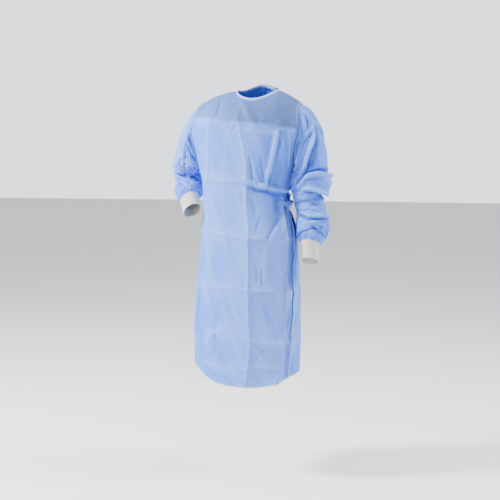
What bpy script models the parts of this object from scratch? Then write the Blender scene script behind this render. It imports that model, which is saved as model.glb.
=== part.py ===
"""Surgical gown in its worn form: a hollow shell of sewn pieces, in metres, +Z up.

The front faces -Y and the wearer's left is +X. The origin lies midway between the
shoulders, at the height where the shoulder seams meet the neck.
"""

import math

import bmesh
import bpy
import numpy as np
from mathutils import Matrix, Vector
from mathutils.kdtree import KDTree

# Cloth
WALL = 0.002
CUFF_WALL = 0.0026
BAND_WALL = 0.0026
SEAM_GAP = 0.0003
SEAM_DRAW_SHARE = 0.75
WELD_DISTANCE = 0.00002
SHARP_ANGLE = math.radians(50.0)
WRAP_LIFT = 0.0055

# Shoulders and neck
ROLL_HEIGHT = 0.13
NECK_X = 0.033
NECK_HALF_WIDTH = 0.092
NECK_BAND_HEIGHT = 0.009
NECK_BAND_UPWARD_LEAN = 0.6
FRONT_NECK_ROLL = math.radians(46.0)
BACK_NECK_ROLL = math.radians(31.0)
BACK_NECK_RISE = 0.080
BACK_NECK_RISE_SHARE = 1.25
BACK_NECK_RISE_REACH = 0.060
LEFT_SHOULDER_DROP = 0.052
LEFT_SHOULDER_CURVE = 1.2
RIGHT_SHOULDER_DROP = 0.060
RIGHT_SHOULDER_CURVE = 1.7
RIDGE_FADE = 0.30

# Heights below the origin
ARMPIT_DROP = 0.30
WAIST_DROP = 0.44
HEM_DROP = 1.165

# Torso sections, from the shoulder ridge down to the hem
TORSO_COLUMNS = ("drop", "centre_x", "centre_y", "half_width", "front_depth", "back_depth", "squareness")
TORSO_SECTIONS = (
    (0.000, -0.005, 0.012, 0.222, 0.126, 0.112, 2.6),
    (0.060, -0.006, 0.010, 0.234, 0.130, 0.116, 2.6),
    (0.130, -0.007, 0.006, 0.236, 0.134, 0.122, 2.6),
    (0.200, -0.009, 0.003, 0.221, 0.134, 0.126, 2.5),
    (0.240, -0.010, 0.002, 0.212, 0.134, 0.126, 2.5),
    (0.300, -0.012, 0.000, 0.195, 0.132, 0.124, 2.4),
    (0.380, -0.015, -0.002, 0.176, 0.128, 0.120, 2.4),
    (0.440, -0.018, -0.003, 0.171, 0.127, 0.119, 2.4),
    (0.563, -0.005, -0.004, 0.190, 0.137, 0.132, 2.3),
    (0.684, -0.005, -0.004, 0.200, 0.147, 0.144, 2.3),
    (0.806, -0.007, -0.004, 0.207, 0.154, 0.152, 2.2),
    (0.968, -0.010, -0.005, 0.213, 0.160, 0.158, 2.2),
    (1.200, -0.010, -0.006, 0.211, 0.166, 0.164, 2.2),
)

# Hem depth round the body, by the angle from the left side through the front
HEM_COLUMNS = ("angle_deg", "hem_drop")
HEM_LINE = (
    (-60.0, 1.128),
    (0.0, 1.128),
    (35.0, 1.150),
    (75.0, 1.172),
    (105.0, 1.165),
    (145.0, 1.112),
    (180.0, 1.074),
    (235.0, 1.105),
    (300.0, 1.128),
    (360.0, 1.128),
    (395.0, 1.142),
)

# Rows of the panels: rolls over the shoulder in degrees, then drops down to the hem
ROLL_ROWS_DEG = (0.0, 14.0, 29.0, 46.0, 66.0, 90.0)
ARMHOLE_DROPS = (0.180, 0.225, 0.265, ARMPIT_DROP)
SKIRT_ROWS = 19
ARMHOLE_EDGE_DEG = (0.0, 14.0, 22.0, 25.0, 24.0, 22.0, 20.0, 17.0, 11.0, 0.0)

# Columns of the panels
SHOULDER_COLUMNS = 8
FRONT_NECK_COLUMNS = 8
WRAP_NECK_COLUMNS = 10
UNDER_NECK_COLUMNS = 5
EVENING_START_DROP = 0.05
EVENING_END_DROP = 0.55

# Free edges of the back halves, by the drop below the shoulder
FREE_EDGE_COLUMNS = ("drop", "wrap_edge_deg", "under_edge_deg")
FREE_EDGES = (
    (0.000, 288.0, 275.0),
    (0.130, 297.0, 262.0),
    (0.240, 312.0, 248.0),
    (0.340, 334.0, 239.0),
    (0.440, 353.0, 234.0),
    (0.530, 358.0, 233.0),
    (0.630, 364.0, 232.0),
    (0.750, 374.0, 232.0),
    (0.900, 381.0, 232.0),
    (1.200, 387.0, 232.0),
)
WRAP_LIFT_LEAD_DEG = 13.0
WRAP_LIFT_LEAD_GAIN_DEG = 20.0
WRAP_LIFT_LEAD_DROP = 0.20
EDGE_CURL = 0.005
EDGE_CURL_DROP = 0.53
EDGE_CURL_REACH = 0.075
EDGE_CURL_SPAN_DEG = 14.0

# Soft flutes that the skirt falls into, each as an angle, a width and a depth
FLUTE_COLUMNS = ("angle_deg", "half_width_deg", "depth", "lean_deg")
SKIRT_FLUTES = (
    (28.0, 9.0, -0.009, 10.0),
    (48.0, 11.0, 0.006, 14.0),
    (112.0, 15.0, -0.004, 6.0),
    (158.0, 12.0, 0.006, -4.0),
    (206.0, 14.0, -0.008, 4.0),
    (232.0, 14.0, 0.006, 5.0),
    (268.0, 16.0, -0.008, 0.0),
    (300.0, 14.0, 0.007, -6.0),
    (332.0, 12.0, -0.007, -8.0),
)
FLUTE_START_DROP = 0.46
FLUTE_FULL_DROP = 1.00

# Sleeve stations: outer line, inner line and half depth, from armhole to cuff
SLEEVE_COLUMNS = ("outer_x", "outer_y", "outer_z", "inner_x", "inner_y", "inner_z", "half_depth")
LEFT_SLEEVE = (
    (0.217, 0.012, -0.050, 0.183, 0.000, -0.300, 0.064),
    (0.252, 0.014, -0.078, 0.190, 0.001, -0.304, 0.068),
    (0.279, 0.016, -0.118, 0.191, 0.001, -0.308, 0.071),
    (0.299, 0.018, -0.165, 0.190, 0.000, -0.313, 0.072),
    (0.309, 0.020, -0.215, 0.187, -0.001, -0.320, 0.072),
    (0.313, 0.022, -0.262, 0.183, -0.003, -0.331, 0.071),
    (0.317, 0.022, -0.300, 0.178, -0.005, -0.347, 0.070),
    (0.328, 0.020, -0.324, 0.175, -0.007, -0.367, 0.072),
    (0.332, 0.018, -0.362, 0.174, -0.008, -0.389, 0.073),
    (0.328, 0.015, -0.396, 0.179, -0.008, -0.411, 0.071),
    (0.307, 0.012, -0.420, 0.184, -0.006, -0.432, 0.063),
    (0.311, 0.006, -0.457, 0.190, -0.004, -0.463, 0.062),
    (0.317, 0.001, -0.482, 0.197, -0.003, -0.486, 0.062),
    (0.333, -0.006, -0.502, 0.199, -0.008, -0.510, 0.064),
    (0.336, -0.014, -0.532, 0.200, -0.015, -0.540, 0.064),
    (0.331, -0.023, -0.564, 0.203, -0.023, -0.569, 0.059),
    (0.315, -0.031, -0.588, 0.215, -0.031, -0.590, 0.048),
    (0.300, -0.038, -0.603, 0.224, -0.038, -0.603, 0.036),
)
RIGHT_SLEEVE = (
    (-0.227, 0.012, -0.060, -0.207, 0.000, -0.300, 0.062),
    (-0.251, 0.016, -0.088, -0.219, 0.001, -0.306, 0.063),
    (-0.270, 0.031, -0.128, -0.230, 0.003, -0.313, 0.064),
    (-0.287, 0.058, -0.178, -0.240, 0.008, -0.319, 0.064),
    (-0.304, 0.095, -0.230, -0.249, 0.018, -0.324, 0.065),
    (-0.321, 0.131, -0.280, -0.257, 0.031, -0.328, 0.066),
    (-0.332, 0.155, -0.326, -0.262, 0.041, -0.334, 0.066),
    (-0.328, 0.155, -0.368, -0.260, 0.038, -0.344, 0.066),
    (-0.313, 0.126, -0.402, -0.253, 0.021, -0.356, 0.064),
    (-0.297, 0.078, -0.419, -0.247, -0.014, -0.368, 0.061),
    (-0.289, 0.039, -0.434, -0.245, -0.044, -0.378, 0.057),
    (-0.277, 0.009, -0.449, -0.241, -0.062, -0.389, 0.050),
    (-0.258, -0.009, -0.460, -0.237, -0.065, -0.404, 0.041),
)
SLEEVE_RINGS = 25
LEFT_RING_CROWDING = 1.0
RIGHT_RING_CROWDING = 0.8
ARMHOLE_BLEND_STATIONS = 3.0
ARMHOLE_TURN_START = 0.5
ARMHOLE_TURN_END = 6.5

# Rolls and folds of the sleeves: place along and round the sleeve, size, and lean per turn
FOLD_COLUMNS = ("along", "around_deg", "along_reach", "around_reach_deg", "height", "lean")
LEFT_SLEEVE_FOLDS = (
    (0.26, 40.0, 0.040, 60.0, -0.006, 0.30),
    (0.36, 80.0, 0.040, 75.0, 0.005, 0.20),
    (0.60, 60.0, 0.035, 90.0, -0.005, 0.12),
    (0.52, 290.0, 0.040, 70.0, -0.006, -0.20),
    (0.30, 250.0, 0.045, 60.0, -0.005, -0.25),
    (0.74, 250.0, 0.035, 80.0, -0.004, 0.12),
)
RIGHT_SLEEVE_FOLDS = (
    (0.30, 110.0, 0.045, 60.0, -0.006, -0.30),
    (0.50, 140.0, 0.040, 55.0, -0.006, -0.22),
    (0.62, 110.0, 0.040, 70.0, -0.006, -0.18),
    (0.74, 80.0, 0.040, 80.0, -0.005, -0.12),
    (0.45, 240.0, 0.045, 60.0, -0.006, 0.18),
    (0.68, 250.0, 0.045, 70.0, -0.005, 0.10),
)

# Knit cuffs
CUFF_RINGS = 6
LEFT_CUFF_RUN = (0.001, -0.006, -0.072)
RIGHT_CUFF_RUN = (0.028, -0.042, -0.046)
CUFF_WAIST = 0.94
CUFF_WAIST_PLACE = 0.625

# Waist tie at the left side, as places on the body and how far they stand off it
TIE_COLUMNS = ("angle_deg", "drop", "stand_off")
BACK_TIE = (
    (337.0, 0.420, 0.0092),
    (345.0, 0.424, 0.0094),
    (352.0, 0.428, 0.0105),
    (359.0, 0.438, 0.0135),
)
FRONT_TIE = (
    (28.0, 0.442, 0.0026),
    (25.5, 0.443, 0.0032),
    (22.5, 0.445, 0.0075),
    (19.0, 0.447, 0.0120),
)
FRONT_TAIL = (
    (14.5, 0.485, 0.0125),
    (17.0, 0.515, 0.0110),
    (18.5, 0.545, 0.0100),
    (19.5, 0.580, 0.0120),
    (20.5, 0.612, 0.0115),
)
BACK_TAIL = (
    (7.5, 0.485, 0.0135),
    (9.0, 0.515, 0.0130),
    (10.5, 0.550, 0.0135),
    (12.0, 0.585, 0.0150),
    (13.0, 0.638, 0.0140),
)
TIE_WIDTH = 0.018
TAIL_WIDTH = 0.018
TIE_THICKNESS = 0.0018
KNOT_PLACE = (9.5, 0.449, 0.0150)
KNOT_HALF_SIZE = (0.0065, 0.0105, 0.0115)
KNOT_BEVEL = 0.002
TAIL_SHIFT = 0.0052
TAIL_WIDTH_AT_KNOT = 0.009
KNOT_LEAD = 0.005

# Neck tab at the left end of the wrap
TAB_COLUMNS = 3
TAB_REACH = 0.016
TAB_THICKNESS = 0.0015
TAB_CLEARANCE = 0.0004

# Finish
CLOTH_BLUE = (0.36, 0.50, 0.84, 1.0)
BAND_BLUE = (0.46, 0.59, 0.88, 1.0)
TIE_BLUE = (0.28, 0.42, 0.76, 1.0)
CUFF_CREAM = (0.82, 0.80, 0.74, 1.0)
CLOTH_ROUGHNESS = 0.72
KNIT_ROUGHNESS = 0.92


def clear_scene():
    """Remove every object that the file starts with."""
    for item in list(bpy.data.objects):
        bpy.data.objects.remove(item, do_unlink=True)


def column(rows, names, name):
    """Return one named column of a table as an array."""
    place = names.index(name)
    return np.array([row[place] for row in rows], dtype=float)


def smooth_value(x, xs, ys):
    """Interpolate a table smoothly, without overshoot between its rows."""
    steps = np.diff(xs)
    slopes = np.diff(ys) / steps
    tangents = np.zeros(len(xs))
    tangents[0] = slopes[0]
    tangents[-1] = slopes[-1]
    for i in range(1, len(xs) - 1):
        if slopes[i - 1] * slopes[i] > 0.0:
            tangents[i] = 2.0 * slopes[i - 1] * slopes[i] / (slopes[i - 1] + slopes[i])
    x = min(max(x, xs[0]), xs[-1])
    i = int(min(max(np.searchsorted(xs, x) - 1, 0), len(xs) - 2))
    t = (x - xs[i]) / steps[i]
    rise = (2 * t**3 - 3 * t**2 + 1) * ys[i] + (3 * t**2 - 2 * t**3) * ys[i + 1]
    lean = (t**3 - 2 * t**2 + t) * tangents[i] + (t**3 - t**2) * tangents[i + 1]
    return float(rise + steps[i] * lean)


def smoothstep(low, high, value):
    """Rise smoothly from 0 at low to 1 at high."""
    t = min(max((value - low) / (high - low), 0.0), 1.0)
    return t * t * (3.0 - 2.0 * t)


def bell(offset, reach):
    """Return a smooth bump that is 1 at no offset and fades past its reach."""
    return math.exp(-((offset / reach) ** 2))


def signed_power(value, power):
    """Raise the size of a number to a power and keep its sign."""
    return math.copysign(abs(value) ** power, value)


TORSO_DROPS = column(TORSO_SECTIONS, TORSO_COLUMNS, "drop")
TORSO_TABLE = {name: column(TORSO_SECTIONS, TORSO_COLUMNS, name) for name in TORSO_COLUMNS}
HEM_ANGLES = column(HEM_LINE, HEM_COLUMNS, "angle_deg")
HEM_DROPS = column(HEM_LINE, HEM_COLUMNS, "hem_drop")
EDGE_DROPS = column(FREE_EDGES, FREE_EDGE_COLUMNS, "drop")
WRAP_EDGES = column(FREE_EDGES, FREE_EDGE_COLUMNS, "wrap_edge_deg")
UNDER_EDGES = column(FREE_EDGES, FREE_EDGE_COLUMNS, "under_edge_deg")


def ridge_height(x):
    """Return the height of the shoulder line at a place across the body."""
    left_run = TORSO_TABLE["centre_x"][0] + TORSO_TABLE["half_width"][0] - NECK_X - NECK_HALF_WIDTH
    right_run = NECK_X - NECK_HALF_WIDTH - TORSO_TABLE["centre_x"][0] + TORSO_TABLE["half_width"][0]
    if x > NECK_X + NECK_HALF_WIDTH:
        share = min((x - NECK_X - NECK_HALF_WIDTH) / left_run, 1.0)
        return -LEFT_SHOULDER_DROP * share**LEFT_SHOULDER_CURVE
    if x < NECK_X - NECK_HALF_WIDTH:
        share = min((NECK_X - NECK_HALF_WIDTH - x) / right_run, 1.0)
        return -RIGHT_SHOULDER_DROP * share**RIGHT_SHOULDER_CURVE
    return 0.0


def flute_depth(angle, drop):
    """Return how far the skirt stands out or in at an angle and a drop."""
    strength = smoothstep(FLUTE_START_DROP, FLUTE_FULL_DROP, drop)
    total = 0.0
    for row in SKIRT_FLUTES:
        flute = dict(zip(FLUTE_COLUMNS, row))
        centre = flute["angle_deg"] + flute["lean_deg"] * (HEM_DROP - drop)
        gap = (math.degrees(angle) - centre + 180.0) % 360.0 - 180.0
        total += flute["depth"] * bell(gap, flute["half_width_deg"])
    return total * strength


def torso_point(angle, roll, drop, lift=0.0):
    """Return a point of the torso, at an angle from the left side through the front.

    roll is the angle over the shoulder, 0 at the seam and a right angle below it,
    and drop is the depth below the shoulder line.
    """
    section = {name: smooth_value(drop, TORSO_DROPS, TORSO_TABLE[name]) for name in TORSO_COLUMNS}
    power = 2.0 / section["squareness"]
    cosine = math.cos(angle)
    sine = math.sin(angle)
    depth = section["front_depth"] if sine > 0.0 else section["back_depth"]
    out = flute_depth(angle, drop) + lift
    x = section["centre_x"] + (section["half_width"] + out) * signed_power(cosine, power)
    roundness = math.sin(roll)
    y = section["centre_y"] - (depth * roundness + out) * signed_power(sine, power)
    base_x = TORSO_TABLE["centre_x"][0] + TORSO_TABLE["half_width"][0] * signed_power(cosine, power)
    z = ridge_height(base_x) * (1.0 - smoothstep(0.0, RIDGE_FADE, drop)) - drop
    if sine < 0.0:
        share = min(abs(base_x - NECK_X) / (NECK_HALF_WIDTH * BACK_NECK_RISE_SHARE), 1.0)
        over_neck = math.cos(math.pi / 2 * share) ** 2
        z += BACK_NECK_RISE * over_neck * roundness * abs(sine) * bell(drop, BACK_NECK_RISE_REACH)
    z += lift * math.cos(roll)
    return Vector((x, y, z))


def neck_share(angle):
    """Return the place across the neck at an angle, from -1 right to 1 left."""
    power = 2.0 / TORSO_TABLE["squareness"][0]
    x = TORSO_TABLE["centre_x"][0] + TORSO_TABLE["half_width"][0] * signed_power(math.cos(angle), power)
    return (x - NECK_X) / NECK_HALF_WIDTH


def neck_angle(share):
    """Return the front angle whose place across the neck is the given share."""
    x = NECK_X + share * NECK_HALF_WIDTH
    cosine = (x - TORSO_TABLE["centre_x"][0]) / TORSO_TABLE["half_width"][0]
    return math.acos(signed_power(cosine, TORSO_TABLE["squareness"][0] / 2.0))


def top_roll(angle):
    """Return the roll at which a panel ends: 0 on the shoulder, more at the neck."""
    share = neck_share(angle)
    if abs(share) >= 1.0:
        return 0.0
    deepest = FRONT_NECK_ROLL if math.sin(angle) > 0.0 else BACK_NECK_ROLL
    return deepest * math.sqrt(1.0 - share * share)


def hem_drop(angle):
    """Return the depth of the hem at an angle round the body."""
    degrees = math.degrees(angle)
    if degrees > HEM_ANGLES[-1]:
        degrees -= 360.0
    return smooth_value(degrees, HEM_ANGLES, HEM_DROPS)


def row_levels():
    """Return the rows of every panel from the top, as pairs of roll and drop."""
    levels = []
    for degrees in ROLL_ROWS_DEG:
        roll = math.radians(degrees)
        levels.append((roll, ROLL_HEIGHT * (1.0 - math.cos(roll))))
    for drop in ARMHOLE_DROPS:
        levels.append((math.pi / 2, drop))
    for i in range(1, SKIRT_ROWS + 1):
        levels.append((math.pi / 2, ARMPIT_DROP + (HEM_DROP - ARMPIT_DROP) * i / SKIRT_ROWS))
    return levels


ROWS = row_levels()
ARMPIT_ROW = len(ROLL_ROWS_DEG) + len(ARMHOLE_DROPS) - 1


def armhole_angle(row):
    """Return how far in front of or behind the side a panel ends at a row."""
    if row >= ARMPIT_ROW:
        return 0.0
    return math.radians(ARMHOLE_EDGE_DEG[row])


def panel_point(angle, row, lift=0.0):
    """Return the point of a panel at an angle and a row."""
    roll, drop = ROWS[row]
    top = top_roll(angle)
    if roll < math.pi / 2 or row < len(ROLL_ROWS_DEG):
        roll = top + (math.pi / 2 - top) * roll / (math.pi / 2)
        drop = ROLL_HEIGHT * (1.0 - math.cos(roll))
    if drop > WAIST_DROP:
        share = (drop - WAIST_DROP) / (HEM_DROP - WAIST_DROP)
        drop = WAIST_DROP + share * (hem_drop(angle) - WAIST_DROP)
    return torso_point(angle, roll, drop, lift)


def spread(stops, counts):
    """Return shares from the first stop to the last, evenly between stops."""
    shares = [stops[0]]
    for low, high, count in zip(stops, stops[1:], counts):
        shares += [low + (high - low) * i / count for i in range(1, count + 1)]
    return shares


def blended_angles(top_angles, row, start, end):
    """Return a row's angles: the top spacing above, and even spacing at the hem."""
    count = len(top_angles) - 1
    evenness = smoothstep(EVENING_START_DROP, EVENING_END_DROP, ROWS[row][1])
    angles = []
    for i, top_angle in enumerate(top_angles):
        top_share = (top_angle - top_angles[0]) / (top_angles[-1] - top_angles[0])
        share = top_share + (i / count - top_share) * evenness
        angles.append(start + (end - start) * share)
    return angles


def edge_angle(angles_deg, row):
    """Return the angle of a back half's free edge at a row."""
    return math.radians(smooth_value(ROWS[row][1], EDGE_DROPS, angles_deg))


def wrap_lift(angle, row):
    """Return how far the wrap stands off the body, over the half that it covers."""
    drop = ROWS[row][1]
    degrees = math.degrees(angle)
    under = smooth_value(drop, EDGE_DROPS, UNDER_EDGES)
    wrap = smooth_value(drop, EDGE_DROPS, WRAP_EDGES)
    lead = WRAP_LIFT_LEAD_DEG + WRAP_LIFT_LEAD_GAIN_DEG * smoothstep(0.0, WRAP_LIFT_LEAD_DROP, drop)
    lift = WRAP_LIFT * smoothstep(under - lead, under - 1.0, degrees)
    curl = EDGE_CURL * bell(drop - EDGE_CURL_DROP, EDGE_CURL_REACH)
    return lift + curl * smoothstep(wrap - EDGE_CURL_SPAN_DEG, wrap, degrees)


def front_grid():
    """Return the front panel's points, in rows from the top, from left to right."""
    counts = (SHOULDER_COLUMNS, FRONT_NECK_COLUMNS, SHOULDER_COLUMNS)
    top_angles = spread((0.0, neck_angle(1.0), neck_angle(-1.0), math.pi), counts)
    grid = []
    for row in range(len(ROWS)):
        edge = armhole_angle(row)
        angles = blended_angles(top_angles, row, edge, math.pi - edge)
        grid.append([panel_point(angle, row) for angle in angles])
    return grid


def wrap_grid():
    """Return the outer back half's points, from the right side to its free edge."""
    counts = (SHOULDER_COLUMNS, WRAP_NECK_COLUMNS)
    stops = (math.pi, 2 * math.pi - neck_angle(-1.0), edge_angle(WRAP_EDGES, 0))
    top_angles = spread(stops, counts)
    grid = []
    for row in range(len(ROWS)):
        start = math.pi + armhole_angle(row)
        angles = blended_angles(top_angles, row, start, edge_angle(WRAP_EDGES, row))
        grid.append([panel_point(angle, row, wrap_lift(angle, row)) for angle in angles])
    return grid


def under_grid():
    """Return the under back half's points, from its free edge to the left side."""
    counts = (UNDER_NECK_COLUMNS, SHOULDER_COLUMNS)
    stops = (edge_angle(UNDER_EDGES, 0), 2 * math.pi - neck_angle(1.0), 2 * math.pi)
    top_angles = spread(stops, counts)
    grid = []
    for row in range(len(ROWS)):
        end = 2 * math.pi - armhole_angle(row)
        angles = blended_angles(top_angles, row, edge_angle(UNDER_EDGES, row), end)
        grid.append([panel_point(angle, row) for angle in angles])
    return grid


def armhole_loop(front, back, front_column, back_column):
    """Return the armhole's points, down the front edge and up the back edge."""
    down = [front[row][front_column] for row in range(ARMPIT_ROW + 1)]
    up = [back[row][back_column] for row in range(ARMPIT_ROW - 1, 0, -1)]
    return down + up


def loop_angles(loop):
    """Return each loop point's angle, by its distance from the shoulder tip."""
    half = ARMPIT_ROW
    closed = loop + [loop[0]]
    steps = [(closed[i + 1] - closed[i]).length for i in range(len(loop))]
    down = np.concatenate(([0.0], np.cumsum(steps[:half])))
    up = np.concatenate(([0.0], np.cumsum(steps[half:])))
    angles = [math.pi * value / down[-1] for value in down]
    angles += [math.pi + math.pi * value / up[-1] for value in up[1:-1]]
    return angles


def fold_height(folds, along, around):
    """Return how far the sleeve stands out or in at a place on it."""
    height = 0.0
    for row in folds:
        fold = dict(zip(FOLD_COLUMNS, row))
        turn = (math.degrees(around) - fold["around_deg"] + 180.0) % 360.0 - 180.0
        run = along - fold["along"] - fold["lean"] * turn / 360.0
        height += fold["height"] * bell(run, fold["along_reach"]) * bell(turn, fold["around_reach_deg"])
    return height


def sleeve_grid(stations, loop, folds, crowding):
    """Return the sleeve's rings, from the armhole's loop to the cuff."""
    places = np.arange(len(stations), dtype=float)
    table = {name: column(stations, SLEEVE_COLUMNS, name) for name in SLEEVE_COLUMNS}
    angles = loop_angles(loop)
    marks = [places[-1] * (k / (SLEEVE_RINGS - 1)) ** crowding for k in range(SLEEVE_RINGS)]
    shapes = [{name: smooth_value(mark, places, table[name]) for name in SLEEVE_COLUMNS} for mark in marks]
    outers = [Vector((s["outer_x"], s["outer_y"], s["outer_z"])) for s in shapes]
    inners = [Vector((s["inner_x"], s["inner_y"], s["inner_z"])) for s in shapes]
    centres = [(outer + inner) / 2 for outer, inner in zip(outers, inners)]
    rings = []
    armhole_front = Vector((0.0, -1.0, 0.0))
    front = armhole_front
    for k, mark in enumerate(marks):
        axis = centres[min(k + 1, SLEEVE_RINGS - 1)] - centres[max(k - 1, 0)]
        half = (outers[k] - inners[k]) / 2
        side = axis.cross(half).normalized()
        if side.dot(front) < 0.0:
            side = -side
        front = side
        turn = smoothstep(ARMHOLE_TURN_START, ARMHOLE_TURN_END, mark)
        side = armhole_front.lerp(side, turn)
        side = (side - half * side.dot(half) / half.length_squared).normalized()
        ring = []
        for angle in angles:
            spoke = half * math.cos(angle) + side * shapes[k]["half_depth"] * math.sin(angle)
            height = fold_height(folds, mark / places[-1], angle)
            ring.append(centres[k] + spoke + spoke.normalized() * height)
        rings.append(ring)
    misses = [point - start for point, start in zip(loop, rings[0])]
    for k, mark in enumerate(marks):
        weight = 1.0 - smoothstep(0.0, ARMHOLE_BLEND_STATIONS, mark)
        rings[k] = [point + miss * weight for point, miss in zip(rings[k], misses)]
    return rings


def cuff_grid(first_ring, run):
    """Return the cuff's rings, which run on from the sleeve's last ring."""
    centre = sum(first_ring, Vector()) / len(first_ring)
    rings = []
    for k in range(CUFF_RINGS):
        share = k / (CUFF_RINGS - 1)
        waist = 1.0 - (1.0 - CUFF_WAIST) * math.sin(math.pi * min(share / CUFF_WAIST_PLACE, 1.0) / 2)
        shift = Vector(run) * share
        rings.append([centre + (point - centre) * waist + shift for point in first_ring])
    return rings


def grid_faces(rows, columns, closed):
    """Return a grid's faces as index loops, wound to face out of the body."""
    faces = []
    last = columns if closed else columns - 1
    for r in range(rows - 1):
        for c in range(last):
            d = (c + 1) % columns
            faces.append((r * columns + c, r * columns + d, (r + 1) * columns + d, (r + 1) * columns + c))
    return faces


def shared_normals(sheets):
    """Return a lookup of outward normals on all the sheets joined together."""
    joined = bmesh.new()
    for grid, closed in sheets:
        verts = [joined.verts.new(point) for line in grid for point in line]
        for face in grid_faces(len(grid), len(grid[0]), closed):
            joined.faces.new([verts[i] for i in face])
    bmesh.ops.remove_doubles(joined, verts=joined.verts[:], dist=WELD_DISTANCE)
    joined.normal_update()
    tree = KDTree(len(joined.verts))
    normals = []
    for i, vert in enumerate(joined.verts):
        tree.insert(vert.co, i)
        normals.append(vert.normal.copy())
    tree.balance()
    joined.free()
    return lambda point: normals[tree.find(point)[1]]


def pulled_grid(grid, closed, seams):
    """Return the grid with its sewn edges drawn back by half a seam gap."""
    moved = [list(line) for line in grid]
    reach = SEAM_GAP * SEAM_DRAW_SHARE

    def draw(r, c, toward_r, toward_c):
        step = grid[toward_r][toward_c] - grid[r][c]
        moved[r][c] = moved[r][c] + step.normalized() * reach

    last_row = len(grid) - 1
    last_column = len(grid[0]) - 1
    for c in range(last_column + 1):
        if "top" in seams:
            draw(0, c, 1, c)
        if "bottom" in seams:
            draw(last_row, c, last_row - 1, c)
    for r in range(last_row + 1):
        if "start" in seams and not closed:
            draw(r, 0, r, 1)
        if "end" in seams and not closed:
            draw(r, last_column, r, last_column - 1)
    return moved


def sheet_object(name, grid, closed, wall, seams, normal_at, material):
    """Make a closed solid wall whose outer face is the grid."""
    rows = len(grid)
    columns = len(grid[0])
    outer = pulled_grid(grid, closed, seams)
    mesh_builder = bmesh.new()
    tops = []
    bottoms = []
    for r in range(rows):
        for c in range(columns):
            point = outer[r][c]
            tops.append(mesh_builder.verts.new(point))
            bottoms.append(mesh_builder.verts.new(point - normal_at(grid[r][c]) * wall))
    for face in grid_faces(rows, columns, closed):
        mesh_builder.faces.new([tops[i] for i in face])
        mesh_builder.faces.new([bottoms[i] for i in reversed(face)])
    rims = [[r * columns + c for c in range(columns)] for r in (0, rows - 1)]
    if not closed:
        rims += [[r * columns + c for r in range(rows)] for c in (0, columns - 1)]
    for rim in rims:
        pairs = list(zip(rim, rim[1:]))
        if closed:
            pairs.append((rim[-1], rim[0]))
        for a, b in pairs:
            mesh_builder.faces.new((tops[a], tops[b], bottoms[b], bottoms[a]))
    return finished_object(name, mesh_builder, material)


def finished_object(name, mesh_builder, material):
    """Turn a closed bmesh into a smooth object that faces outward."""
    bmesh.ops.recalc_face_normals(mesh_builder, faces=mesh_builder.faces[:])
    mesh = bpy.data.meshes.new(name)
    mesh_builder.to_mesh(mesh)
    mesh_builder.free()
    mesh.shade_smooth()
    mesh.set_sharp_from_angle(angle=SHARP_ANGLE)
    mesh.materials.append(material)
    item = bpy.data.objects.new(name, mesh)
    bpy.context.collection.objects.link(item)
    return item


def cloth_material(name, color, roughness):
    """Make a plain Principled material."""
    material = bpy.data.materials.new(name)
    material.use_nodes = True
    shader = material.node_tree.nodes["Principled BSDF"]
    shader.inputs["Base Color"].default_value = color
    shader.inputs["Roughness"].default_value = roughness
    shader.inputs["Metallic"].default_value = 0.0
    return material


def neck_path(front, wrap, under):
    """Return the neckline's points, from the under half round the front to the wrap."""
    path = list(under[0][: UNDER_NECK_COLUMNS + 1])
    start = SHOULDER_COLUMNS
    path += front[0][start + 1 : start + FRONT_NECK_COLUMNS + 1]
    path += wrap[0][SHOULDER_COLUMNS + 1 :]
    return path


def band_grid(path, normal_at):
    """Return the neck binding's points: its top line and the line where it is sewn."""
    tops = []
    roots = []
    for i, point in enumerate(path):
        tangent = path[min(i + 1, len(path) - 1)] - path[max(i - 1, 0)]
        away = tangent.cross(normal_at(point)).normalized()
        rise = (away + Vector((0.0, 0.0, NECK_BAND_UPWARD_LEAN))).normalized()
        roots.append(point + away * SEAM_GAP)
        tops.append(point + away * SEAM_GAP + rise * NECK_BAND_HEIGHT)
    return [tops, roots]


def knot_frame():
    """Return the knot's centre and its direction along the body, backward."""
    angle_deg, drop, off = KNOT_PLACE
    angle = math.radians(angle_deg)
    centre = torso_point(angle, math.pi / 2, drop, off)
    return centre, Vector((math.sin(angle), math.cos(angle), 0.0))


def side_ports(side):
    """Return two points square to the knot's side, one a lead away and one just off it."""
    centre, backward = knot_frame()
    reach = KNOT_HALF_SIZE[1] + SEAM_GAP
    return [centre + backward * side * (reach + KNOT_LEAD), centre + backward * side * reach]


def bottom_ports(side):
    """Return two points square below the knot, one just off it and one a lead away."""
    centre, backward = knot_frame()
    down = Vector((0.0, 0.0, -1.0))
    start = centre + backward * side * TAIL_SHIFT + down * (KNOT_HALF_SIZE[2] + SEAM_GAP)
    return [start, start + down * KNOT_LEAD]


def tie_points(places):
    """Return the points of a tie from its places on the body."""
    points = []
    for row in places:
        place = dict(zip(TIE_COLUMNS, row))
        angle = math.radians(place["angle_deg"])
        points.append(torso_point(angle, math.pi / 2, place["drop"], place["stand_off"]))
    return points


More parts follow.
